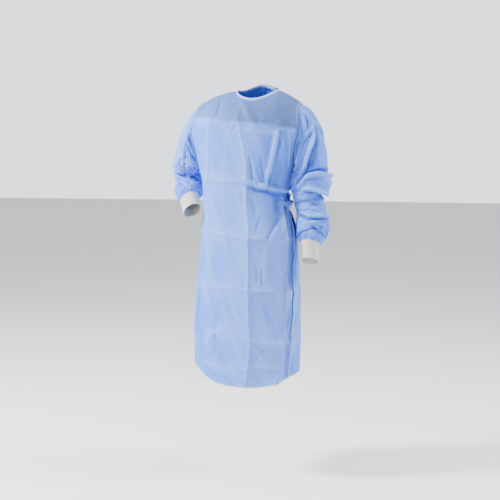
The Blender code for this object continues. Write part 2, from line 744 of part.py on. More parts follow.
def strip_object(name, points, widths, material):
    """Make a flat tie that runs through points beside the body."""
    centre = knot_frame()[0]
    axis = Vector((TORSO_TABLE["centre_x"][0], TORSO_TABLE["centre_y"][0], centre.z))
    mesh_builder = bmesh.new()
    loops = []
    for i, point in enumerate(points):
        out = point - axis
        out.z = 0.0
        run = (points[min(i + 1, len(points) - 1)] - points[max(i - 1, 0)]).normalized()
        across = run.cross(out).normalized() * widths[i] / 2
        thick = across.cross(run).normalized() * TIE_THICKNESS / 2
        corners = (across + thick, thick - across, -across - thick, across - thick)
        loops.append([mesh_builder.verts.new(point + corner) for corner in corners])
    for one, two in zip(loops, loops[1:]):
        for i in range(4):
            j = (i + 1) % 4
            mesh_builder.faces.new((one[i], one[j], two[j], two[i]))
    mesh_builder.faces.new(loops[0])
    mesh_builder.faces.new(list(reversed(loops[-1])))
    return finished_object(name, mesh_builder, material)


def knot_object(name, material):
    """Make the small rounded knot that the two ties meet in."""
    centre = knot_frame()[0]
    turn = Matrix.Rotation(-math.radians(KNOT_PLACE[0]), 3, "Z")
    mesh_builder = bmesh.new()
    bmesh.ops.create_cube(mesh_builder, size=2.0)
    bmesh.ops.scale(mesh_builder, vec=KNOT_HALF_SIZE, verts=mesh_builder.verts[:])
    bmesh.ops.bevel(
        mesh_builder, geom=mesh_builder.edges[:], offset=KNOT_BEVEL, segments=2, profile=0.5,
        affect="EDGES", material=-1,
    )
    bmesh.ops.rotate(mesh_builder, cent=(0, 0, 0), matrix=turn, verts=mesh_builder.verts[:])
    bmesh.ops.translate(mesh_builder, vec=centre, verts=mesh_builder.verts[:])
    return finished_object(name, mesh_builder, material)


def build_ties(material):
    """Make the waist tie: two ends sewn to the gown, the knot and two hanging ends."""
    back = tie_points(BACK_TIE) + side_ports(1.0)
    front = tie_points(FRONT_TIE) + side_ports(-1.0)
    strip_object("tie_back", back, [TIE_WIDTH] * len(back), material)
    strip_object("tie_front", front, [TIE_WIDTH] * len(front), material)
    knot_object("tie_knot", material)
    for name, places, side in (("tie_tail_front", FRONT_TAIL, -1.0), ("tie_tail_back", BACK_TAIL, 1.0)):
        points = bottom_ports(side) + tie_points(places)
        widths = [TAIL_WIDTH_AT_KNOT] * 2 + [TAIL_WIDTH] * len(places)
        strip_object(name, points, widths, material)


def tab_grid(band, wrap, normal_at):
    """Return the neck tab's points, which lie on the end of the wrap and its binding."""
    lines = [band[0][-TAB_COLUMNS:], wrap[0][-TAB_COLUMNS:], wrap[1][-TAB_COLUMNS:]]
    grid = []
    for line in lines:
        normals = [normal_at(point) for point in line]
        raised = [point + normal * (TAB_CLEARANCE + TAB_THICKNESS) for point, normal in zip(line, normals)]
        end = raised[-1] + (raised[-1] - raised[-2]).normalized() * TAB_REACH
        grid.append(raised + [end])
    return grid


def build_gown():
    """Make every sewn piece of the gown."""
    cloth = cloth_material("nonwoven_cloth", CLOTH_BLUE, CLOTH_ROUGHNESS)
    band_cloth = cloth_material("neck_band_cloth", BAND_BLUE, CLOTH_ROUGHNESS)
    tie_cloth = cloth_material("tie_cloth", TIE_BLUE, CLOTH_ROUGHNESS)
    knit = cloth_material("cuff_knit", CUFF_CREAM, KNIT_ROUGHNESS)

    front = front_grid()
    wrap = wrap_grid()
    under = under_grid()
    left_armhole = armhole_loop(front, under, 0, -1)
    right_armhole = armhole_loop(front, wrap, -1, 0)
    left_sleeve = sleeve_grid(LEFT_SLEEVE, left_armhole, LEFT_SLEEVE_FOLDS, LEFT_RING_CROWDING)
    right_sleeve = sleeve_grid(RIGHT_SLEEVE, right_armhole, RIGHT_SLEEVE_FOLDS, RIGHT_RING_CROWDING)
    right_sleeve = [list(ring[:1] + ring[:0:-1]) for ring in right_sleeve]
    left_cuff = cuff_grid(left_sleeve[-1], LEFT_CUFF_RUN)
    right_cuff = cuff_grid(right_sleeve[-1], RIGHT_CUFF_RUN)
    sheets = [(front, False), (wrap, False), (under, False)]
    sheets += [(left_sleeve, True), (right_sleeve, True), (left_cuff, True), (right_cuff, True)]
    normal_at = shared_normals(sheets)

    sides = ("top", "start", "end")
    sheet_object("front_panel", front, False, WALL, sides, normal_at, cloth)
    sheet_object("back_wrap", wrap, False, WALL, ("top", "start"), normal_at, cloth)
    sheet_object("back_under", under, False, WALL, ("top", "end"), normal_at, cloth)
    sheet_object("sleeve_left", left_sleeve, True, WALL, ("top", "bottom"), normal_at, cloth)
    sheet_object("sleeve_right", right_sleeve, True, WALL, ("top", "bottom"), normal_at, cloth)
    sheet_object("cuff_left", left_cuff, True, CUFF_WALL, ("top",), normal_at, knit)
    sheet_object("cuff_right", right_cuff, True, CUFF_WALL, ("top",), normal_at, knit)

    band = band_grid(neck_path(front, wrap, under), normal_at)
    sheet_object("neck_binding", band, False, BAND_WALL, (), normal_at, band_cloth)
    tab = tab_grid(band, wrap, normal_at)
    sheet_object("neck_tab", tab, False, TAB_THICKNESS, (), normal_at, tie_cloth)

    build_ties(tie_cloth)


clear_scene()
build_gown()
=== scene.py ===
"""Dress the surgical gown: nonwoven cloth pieces, knit cuffs, neck binding and waist tie.

Every piece lies on the form of the solid that it stands for. Sizes are in metres,
+Z is up, the front faces -Y and the wearer's left is +X.
"""

import logging
import math
from dataclasses import dataclass, field
from enum import Enum
from functools import cached_property
from typing import Sequence

import bmesh
import bpy
import numpy as np
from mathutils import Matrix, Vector


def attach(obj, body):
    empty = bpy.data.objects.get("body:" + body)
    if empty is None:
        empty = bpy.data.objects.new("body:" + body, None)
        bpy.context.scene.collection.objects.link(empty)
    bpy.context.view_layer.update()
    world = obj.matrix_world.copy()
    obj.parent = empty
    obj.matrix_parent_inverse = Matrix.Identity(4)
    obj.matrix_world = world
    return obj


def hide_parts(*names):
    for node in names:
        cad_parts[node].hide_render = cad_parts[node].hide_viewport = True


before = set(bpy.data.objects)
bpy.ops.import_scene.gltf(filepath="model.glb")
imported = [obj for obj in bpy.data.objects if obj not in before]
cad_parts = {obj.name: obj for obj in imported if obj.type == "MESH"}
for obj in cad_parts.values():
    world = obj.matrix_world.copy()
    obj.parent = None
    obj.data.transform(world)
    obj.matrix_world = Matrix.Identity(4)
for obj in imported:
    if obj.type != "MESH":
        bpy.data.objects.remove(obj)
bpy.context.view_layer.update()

BODY = "root"
FULL_TURN = 2.0 * math.pi
RIGHT_ANGLE = math.pi / 2.0
WELD_DISTANCE = 0.000005

Row = tuple[float, ...]
Table = tuple[Row, ...]

log = logging.getLogger("gown")


def column(rows: Table, names: Sequence[str], name: str) -> np.ndarray:
    """Return one named column of a table.

    Args:
        rows: The table's rows.
        names: The names of its columns, in order.
        name: The column that is wanted.

    Returns:
        The column's values.
    """
    place = list(names).index(name)
    return np.array([row[place] for row in rows], dtype=float)


def smooth_values(x: np.ndarray, xs: np.ndarray, ys: np.ndarray) -> np.ndarray:
    """Interpolate a table smoothly, without overshoot between its rows.

    Args:
        x: Where the values are wanted.
        xs: The table's places, rising.
        ys: The table's values.

    Returns:
        The value at each place.
    """
    steps = np.diff(xs)
    slopes = np.diff(ys) / steps
    tangents = np.zeros(len(xs))
    tangents[0] = slopes[0]
    tangents[-1] = slopes[-1]
    before = slopes[:-1]
    after = slopes[1:]
    agree = before * after > 0.0
    total = np.where(agree, before + after, 1.0)
    tangents[1:-1] = np.where(agree, 2.0 * before * after / total, 0.0)
    x = np.clip(np.asarray(x, dtype=float), xs[0], xs[-1])
    i = np.clip(np.searchsorted(xs, x) - 1, 0, len(xs) - 2)
    t = (x - xs[i]) / steps[i]
    rise = (2 * t**3 - 3 * t**2 + 1) * ys[i] + (3 * t**2 - 2 * t**3) * ys[i + 1]
    lean = (t**3 - 2 * t**2 + t) * tangents[i] + (t**3 - t**2) * tangents[i + 1]
    return rise + steps[i] * lean


def smoothstep(low: float | np.ndarray, high: float | np.ndarray, value: np.ndarray) -> np.ndarray:
    """Return a smooth rise from 0 at low to 1 at high."""
    t = np.clip((value - low) / (high - low), 0.0, 1.0)
    return t * t * (3.0 - 2.0 * t)


def bell(offset: np.ndarray, reach: float) -> np.ndarray:
    """Return a smooth bump that is 1 at no offset and fades past its reach."""
    return np.exp(-((offset / reach) ** 2))


def signed_power(value: np.ndarray, power: np.ndarray) -> np.ndarray:
    """Return the size of each value to a power, with the value's sign."""
    return np.sign(value) * np.abs(value) ** power


def ripples(x: np.ndarray, y: np.ndarray, length: float, seed: int) -> np.ndarray:
    """Return a smooth uneven wave over a surface, between about -1 and 1.

    Args:
        x: The first place on the surface.
        y: The second place on the surface.
        length: The mean distance from crest to crest.
        seed: Which of the uneven patterns it is.

    Returns:
        The wave's height at each place.
    """
    chooser = np.random.default_rng(seed)
    total = np.zeros(np.broadcast(x, y).shape)
    waves = 9
    for _ in range(waves):
        heading = chooser.uniform(0.0, FULL_TURN)
        wavelength = length * chooser.uniform(0.7, 1.6)
        phase = chooser.uniform(0.0, FULL_TURN)
        run = x * math.cos(heading) + y * math.sin(heading)
        total += np.sin(run * FULL_TURN / wavelength + phase)
    return total / math.sqrt(waves * 2.0)


def grid_normals(points: np.ndarray, closed: bool) -> np.ndarray:
    """Return the unit normals of a grid of points, by its neighbours.

    Args:
        points: Rows from the top and columns by rising angle, as rows x columns x 3.
        closed: Whether the last column meets the first.

    Returns:
        The normals, which point out of the body.
    """
    down = np.gradient(points, axis=0)
    if closed:
        ring = points[:, :-1]
        turn = np.roll(ring, -1, axis=1) - np.roll(ring, 1, axis=1)
        across = np.concatenate((turn, turn[:, :1]), axis=1)
    else:
        across = np.gradient(points, axis=1)
    normals = np.cross(across, down)
    length = np.linalg.norm(normals, axis=2, keepdims=True)
    return normals / np.maximum(length, 1e-12)


class Profile(Enum):
    """The shape of a fold across its line."""

    SOFT = "a round ridge or trough"
    SHARP = "a ridge or trough with a crisp line"
    LAP = "a ridge beside a trough"


class Side(Enum):
    """The line of the body that a fold's places are measured from."""

    FRONT = "centre front"
    BACK = "centre back"


@dataclass(frozen=True)
class Fold:
    """One crease or fold.

    Args:
        path: Its line as (around, along, strength) at each point.
        height: How far it stands out, or in where it is negative.
        reach: Half its width.
        profile: Its shape across the line.
        side: The line that its places are measured from.
    """

    path: Table
    height: float
    reach: float
    profile: Profile = Profile.SOFT
    side: Side = Side.FRONT

    def relief(self, around: np.ndarray, along: np.ndarray, spread: float = 1.0) -> np.ndarray:
        """Return how far the fold moves the cloth at each place, with its width scaled by spread."""
        nearest = np.full(around.shape, np.inf)
        strength = np.zeros(around.shape)
        offset = np.zeros(around.shape)
        for (a0, b0, s0), (a1, b1, s1) in zip(self.path, self.path[1:]):
            run_a = a1 - a0
            run_b = b1 - b0
            length = max(math.hypot(run_a, run_b), 1e-6)
            t = np.clip(((around - a0) * run_a + (along - b0) * run_b) / length**2, 0.0, 1.0)
            gap_a = around - a0 - t * run_a
            gap_b = along - b0 - t * run_b
            distance = gap_a**2 + gap_b**2
            closer = distance < nearest
            nearest = np.where(closer, distance, nearest)
            strength = np.where(closer, s0 + (s1 - s0) * t, strength)
            side = np.sign(run_a * gap_b - run_b * gap_a)
            offset = np.where(closer, side * np.sqrt(distance), offset)
        share = offset / (self.reach * spread)
        if self.profile is Profile.SOFT:
            shape = np.exp(-(share**2))
        elif self.profile is Profile.SHARP:
            shape = np.exp(-np.abs(share))
        else:
            shape = 2.3 * share * np.exp(-(share**2))
        return self.height * strength * shape


@dataclass(frozen=True)
class BodyForm:
    """The form that the front and back panels lie on."""

    roll_height: float = 0.13
    neck_x: float = 0.033
    neck_half_width: float = 0.092
    front_neck_roll: float = math.radians(46.0)
    back_neck_roll: float = math.radians(31.0)
    back_neck_rise: float = 0.080
    back_neck_rise_share: float = 1.25
    back_neck_rise_reach: float = 0.060
    left_shoulder_drop: float = 0.052
    left_shoulder_curve: float = 1.2
    right_shoulder_drop: float = 0.060
    right_shoulder_curve: float = 1.7
    ridge_fade: float = 0.30
    armpit_drop: float = 0.30
    waist_drop: float = 0.44
    hem_drop: float = 1.165
    section_columns: tuple[str, ...] = (
        "drop", "centre_x", "centre_y", "half_width", "front_depth", "back_depth", "squareness",
    )
    sections: Table = (
        (0.000, -0.005, 0.012, 0.222, 0.126, 0.112, 2.6),
        (0.060, -0.006, 0.010, 0.234, 0.130, 0.116, 2.6),
        (0.130, -0.007, 0.006, 0.236, 0.134, 0.122, 2.6),
        (0.200, -0.009, 0.003, 0.221, 0.134, 0.126, 2.5),
        (0.240, -0.010, 0.002, 0.212, 0.134, 0.126, 2.5),
        (0.300, -0.012, 0.000, 0.195, 0.132, 0.124, 2.4),
        (0.380, -0.015, -0.002, 0.176, 0.128, 0.120, 2.4),
        (0.440, -0.018, -0.003, 0.171, 0.127, 0.119, 2.4),
        (0.563, -0.005, -0.004, 0.190, 0.137, 0.132, 2.3),
        (0.684, -0.005, -0.004, 0.200, 0.147, 0.144, 2.3),
        (0.806, -0.007, -0.004, 0.207, 0.154, 0.152, 2.2),
        (0.968, -0.010, -0.005, 0.213, 0.160, 0.158, 2.2),
        (1.200, -0.010, -0.006, 0.211, 0.166, 0.164, 2.2),
    )
    hem_columns: tuple[str, ...] = ("angle_deg", "hem_drop")
    hem_line: Table = (
        (-60.0, 1.128),
        (0.0, 1.128),
        (35.0, 1.150),
        (75.0, 1.172),
        (105.0, 1.165),
        (145.0, 1.112),
        (180.0, 1.074),
        (235.0, 1.105),
        (300.0, 1.128),
        (360.0, 1.128),
        (395.0, 1.142),
    )
    flute_columns: tuple[str, ...] = ("angle_deg", "half_width_deg", "depth", "lean_deg")
    flutes: Table = (
        (28.0, 9.0, -0.009, 10.0),
        (48.0, 11.0, 0.006, 14.0),
        (112.0, 15.0, -0.004, 6.0),
        (158.0, 12.0, 0.006, -4.0),
        (206.0, 14.0, -0.008, 4.0),
        (232.0, 14.0, 0.006, 5.0),
        (268.0, 16.0, -0.008, 0.0),
        (300.0, 14.0, 0.007, -6.0),
        (332.0, 12.0, -0.007, -8.0),
    )
    flute_start_drop: float = 0.46
    flute_full_drop: float = 1.00

    def section(self, name: str, drop: np.ndarray) -> np.ndarray:
        """Return one size of the body's section at each drop."""
        drops = column(self.sections, self.section_columns, "drop")
        return smooth_values(drop, drops, column(self.sections, self.section_columns, name))

    def top_x(self, angle: np.ndarray) -> np.ndarray:
        """Return the place across the shoulder line at each angle."""
        first = dict(zip(self.section_columns, self.sections[0]))
        power = 2.0 / first["squareness"]
        return first["centre_x"] + first["half_width"] * signed_power(np.cos(angle), power)

    def ridge_height(self, x: np.ndarray) -> np.ndarray:
        """Return the height of the shoulder line at each place across."""
        first = dict(zip(self.section_columns, self.sections[0]))
        left_run = first["centre_x"] + first["half_width"] - self.neck_x - self.neck_half_width
        right_run = self.neck_x - self.neck_half_width - first["centre_x"] + first["half_width"]
        left = np.clip((x - self.neck_x - self.neck_half_width) / left_run, 0.0, 1.0)
        right = np.clip((self.neck_x - self.neck_half_width - x) / right_run, 0.0, 1.0)
        left_fall = self.left_shoulder_drop * left**self.left_shoulder_curve
        right_fall = self.right_shoulder_drop * right**self.right_shoulder_curve
        return -left_fall - right_fall

    def flute_depth(self, angle: np.ndarray, drop: np.ndarray) -> np.ndarray:
        """Return how far the skirt's soft flutes stand out or in."""
        strength = smoothstep(self.flute_start_drop, self.flute_full_drop, drop)
        total = np.zeros(np.broadcast(angle, drop).shape)
        for row in self.flutes:
            flute = dict(zip(self.flute_columns, row))
            centre = flute["angle_deg"] + flute["lean_deg"] * (self.hem_drop - drop)
            gap = (np.degrees(angle) - centre + 180.0) % 360.0 - 180.0
            total += flute["depth"] * bell(gap, flute["half_width_deg"])
        return total * strength

    def point(
        self, angle: np.ndarray, roll: np.ndarray, drop: np.ndarray, lift: np.ndarray | float = 0.0
    ) -> np.ndarray:
        """Return points of the body.

        Args:
            angle: The turn from the left side through the front.
            roll: The turn over the shoulder, 0 at the seam.
            drop: The depth below the shoulder line.
            lift: How far the point stands off the body.

        Returns:
            The points, with x, y and z last.
        """
        power = 2.0 / self.section("squareness", drop)
        sine = np.sin(angle)
        depth = np.where(sine > 0.0, self.section("front_depth", drop), self.section("back_depth", drop))
        out = self.flute_depth(angle, drop) + lift
        roundness = np.sin(roll)
        half_width = self.section("half_width", drop) + out
        x = self.section("centre_x", drop) + half_width * signed_power(np.cos(angle), power)
        y = self.section("centre_y", drop) - (depth * roundness + out) * signed_power(sine, power)
        base_x = self.top_x(angle)
        z = self.ridge_height(base_x) * (1.0 - smoothstep(0.0, self.ridge_fade, drop)) - drop
        reach = self.neck_half_width * self.back_neck_rise_share
        share = np.minimum(np.abs(base_x - self.neck_x) / reach, 1.0)
        rise = self.back_neck_rise * np.cos(RIGHT_ANGLE * share) ** 2 * roundness * np.abs(sine)
        z = z + np.where(sine < 0.0, rise * bell(drop, self.back_neck_rise_reach), 0.0)
        z = z + lift * np.cos(roll)
        return np.stack(np.broadcast_arrays(x, y, z), axis=-1)

    def neck_angle(self, share: float) -> float:
        """Return the front angle at a place across the neck, from -1 right to 1 left."""
        first = dict(zip(self.section_columns, self.sections[0]))
        x = self.neck_x + share * self.neck_half_width
        cosine = (x - first["centre_x"]) / first["half_width"]
        return float(np.arccos(signed_power(np.array(cosine), first["squareness"] / 2.0)))

    def top_roll(self, angle: np.ndarray) -> np.ndarray:
        """Return the roll at which a panel ends: 0 on the shoulder, more at the neck."""
        share = (self.top_x(angle) - self.neck_x) / self.neck_half_width
        deepest = np.where(np.sin(angle) > 0.0, self.front_neck_roll, self.back_neck_roll)
        return deepest * np.sqrt(np.clip(1.0 - share * share, 0.0, 1.0))

    def hem_depth(self, angle: np.ndarray) -> np.ndarray:
        """Return the depth of the hem at each angle."""
        angles = column(self.hem_line, self.hem_columns, "angle_deg")
        degrees = np.degrees(angle)
        degrees = np.where(degrees > angles[-1], degrees - 360.0, degrees)
        return smooth_values(degrees, angles, column(self.hem_line, self.hem_columns, "hem_drop"))

    @cached_property
    def measure(self) -> "BodyMeasure":
        """Return the lookup of distances round the body."""
        drops = np.linspace(0.0, 1.2, 61)
        angles = np.linspace(0.0, FULL_TURN, 721)
        grid_drop, grid_angle = np.meshgrid(drops, angles, indexing="ij")
        points = self.point(grid_angle, np.full(grid_angle.shape, RIGHT_ANGLE), grid_drop)[..., :2]
        steps = np.linalg.norm(np.diff(points, axis=1), axis=2)
        runs = np.concatenate((np.zeros((len(drops), 1)), np.cumsum(steps, axis=1)), axis=1)
        return BodyMeasure(drops, angles, runs)


@dataclass(frozen=True)
class BodyMeasure:
    """Distances round the body from its left side, at each drop and angle."""

    drops: np.ndarray
    angles: np.ndarray
    runs: np.ndarray

    def run(self, angle: np.ndarray, drop: np.ndarray) -> np.ndarray:
        """Return the distance from the left side through the front."""
        r = np.clip(drop / self.drops[-1], 0.0, 1.0) * (len(self.drops) - 1)
        c = (angle % FULL_TURN) / FULL_TURN * (len(self.angles) - 1)
        r0 = np.minimum(r.astype(int), len(self.drops) - 2)
        c0 = np.minimum(c.astype(int), len(self.angles) - 2)
        fr = r - r0
        fc = c - c0
        top = self.runs[r0, c0] * (1 - fc) + self.runs[r0, c0 + 1] * fc
        low = self.runs[r0 + 1, c0] * (1 - fc) + self.runs[r0 + 1, c0 + 1] * fc
        return top * (1 - fr) + low * fr

    def girth(self, drop: np.ndarray) -> np.ndarray:
        """Return the whole way round the body at each drop."""
        return np.interp(drop, self.drops, self.runs[:, -1])

    def around(self, angle: np.ndarray, drop: np.ndarray, side: Side) -> np.ndarray:
        """Return the distance from the centre front or back, rising to the wearer's left."""
        girth = self.girth(drop)
        middle = RIGHT_ANGLE if side is Side.FRONT else 3.0 * RIGHT_ANGLE
        turn = 1.0 if side is Side.BACK else -1.0
        offset = turn * (self.run(angle, drop) - self.run(np.full(angle.shape, middle), drop))
        return (offset + girth / 2.0) % girth - girth / 2.0


@dataclass(frozen=True)
class Cloth:
    """A grid of cloth before it becomes a mesh."""

    points: np.ndarray
    lay: np.ndarray
    stitch: np.ndarray
    shade: np.ndarray
    tone: np.ndarray
    closed: bool = False


def new_grid(rows: int, columns: int) -> tuple[bmesh.types.BMesh, dict[int, tuple[int, int]]]:
    """Make a flat grid.

    Args:
        rows: The count of rows of corners.
        columns: The count of columns of corners.

    Returns:
        The grid, and the row and column of each corner by its index.
    """
    builder = bmesh.new()
    bmesh.ops.create_grid(builder, x_segments=columns - 1, y_segments=rows - 1, size=1.0)
    builder.verts.index_update()
    reach = 2.0 * max(vert.co.x for vert in builder.verts)
    places = {}
    for vert in builder.verts:
        row = round((0.5 - vert.co.y / reach) * (rows - 1))
        places[vert.index] = (row, round((0.5 + vert.co.x / reach) * (columns - 1)))
    return builder, places


def write_uv(builder: bmesh.types.BMesh, name: str, places: dict[int, tuple[int, int]], values: np.ndarray) -> None:
    """Write a UV map from a grid of values."""
    layer = builder.loops.layers.uv.new(name)
    for face in builder.faces:
        for corner in face.loops:
            corner[layer].uv = values[places[corner.vert.index]]


def tube_piece(name: str, points: np.ndarray, lay: np.ndarray, material: bpy.types.Material) -> bpy.types.Object:
    """Make a closed tube from rings of points, and cap its two ends.

    Args:
        name: The piece's name.
        points: The rings, whose last column repeats the first.
        lay: The place of each point on the flat cloth.
        material: The piece's material.

    Returns:
        The piece, at the origin.
    """
    builder, places = new_grid(*points.shape[:2])
    for vert in builder.verts:
        vert.co = points[places[vert.index]]
    write_uv(builder, "lay", places, lay)
    bmesh.ops.remove_doubles(builder, verts=builder.verts[:], dist=WELD_DISTANCE)
    bmesh.ops.holes_fill(builder, edges=[edge for edge in builder.edges if edge.is_boundary], sides=0)
    bmesh.ops.recalc_face_normals(builder, faces=builder.faces[:])
    return finished_piece(name, builder, material)


def cloth_object(name: str, cloth: Cloth, thickness: float, material: bpy.types.Material) -> bpy.types.Object:
    """Make a thin cloth shell from a grid.

    Args:
        name: The piece's name.
        cloth: The grid with its lay, stitch places and shades.
        thickness: How thick the cloth is drawn.
        material: The piece's material.

    Returns:
        The piece, at the origin.
    """
    builder, places = new_grid(*cloth.points.shape[:2])
    shade_layer = builder.verts.layers.float.new("shade")
    tone_layer = builder.verts.layers.float.new("tone")
    for vert in builder.verts:
        place = places[vert.index]
        vert.co = cloth.points[place]
        vert[shade_layer] = cloth.shade[place]
        vert[tone_layer] = cloth.tone[place]
    write_uv(builder, "lay", places, cloth.lay)
    write_uv(builder, "stitch", places, cloth.stitch)
    builder.verts.ensure_lookup_table()
    first = builder.verts[0].link_faces[0]
    outward = grid_normals(cloth.points, cloth.closed)[places[first.verts[0].index]]
    first.normal_update()
    if first.normal.dot(Vector(outward)) < 0.0:
        bmesh.ops.reverse_faces(builder, faces=builder.faces[:])
    if cloth.closed:
        bmesh.ops.remove_doubles(builder, verts=builder.verts[:], dist=WELD_DISTANCE)
    piece = finished_piece(name, builder, material)
    wall = piece.modifiers.new("Wall", "SOLIDIFY")
    wall.thickness = thickness
    wall.offset = -1.0
    wall.use_even_offset = False
    return piece


def finished_piece(name: str, builder: bmesh.types.BMesh, material: bpy.types.Material) -> bpy.types.Object:
    """Turn a bmesh into a smooth object at the origin.

    Args:
        name: The piece's name.
        builder: The bmesh, which is freed.
        material: The piece's material.

    Returns:
        The new object.
    """
    mesh = bpy.data.meshes.new(name)
    builder.to_mesh(mesh)
    builder.free()
    mesh.shade_smooth()
    mesh.materials.append(material)
    piece = bpy.data.objects.new(name, mesh)
    bpy.context.collection.objects.link(piece)
    return piece


def walked(points: np.ndarray, axis: int) -> np.ndarray:
    """Return the distance walked along one axis of a grid from its start."""
    steps = np.linalg.norm(np.diff(points, axis=axis), axis=2)
    start = np.zeros_like(np.take(steps, [0], axis=axis))
    return np.concatenate((start, np.cumsum(steps, axis=axis)), axis=axis)


def sampled(grid: np.ndarray, down: np.ndarray, across: np.ndarray) -> np.ndarray:
    """Return points of a coarse grid at shares down and across it, mixed from their neighbours."""
    r = down * (grid.shape[0] - 1)
    c = across * (grid.shape[1] - 1)
    r0 = np.clip(r.astype(int), 0, grid.shape[0] - 2)
    c0 = np.clip(c.astype(int), 0, grid.shape[1] - 2)
    fr = (r - r0)[..., None]
    fc = (c - c0)[..., None]
    top = grid[r0, c0] * (1.0 - fc) + grid[r0, c0 + 1] * fc
    low = grid[r0 + 1, c0] * (1.0 - fc) + grid[r0 + 1, c0 + 1] * fc
    return top * (1.0 - fr) + low * fr


@dataclass(frozen=True)
class SeamLook:
    """How cloth pulls in beside a sewn edge."""

    trough: float = 0.0008
    trough_reach: float = 0.0035
    pucker: float = 0.0007
    pucker_reach: float = 0.013
    pucker_length: float = 0.017

    def relief(self, run: np.ndarray, gap: np.ndarray, seed: int) -> np.ndarray:
        """Return how far the cloth moves at a run along and a gap from the seam."""
        dip = -self.trough * np.exp(-((gap / self.trough_reach) ** 2))
        wave = ripples(run, gap * 0.3, self.pucker_length, seed)
        fade = np.exp(-((gap / self.pucker_reach) ** 2)) * (1.0 - np.exp(-gap / self.trough_reach))
        return dip + self.pucker * wave * fade


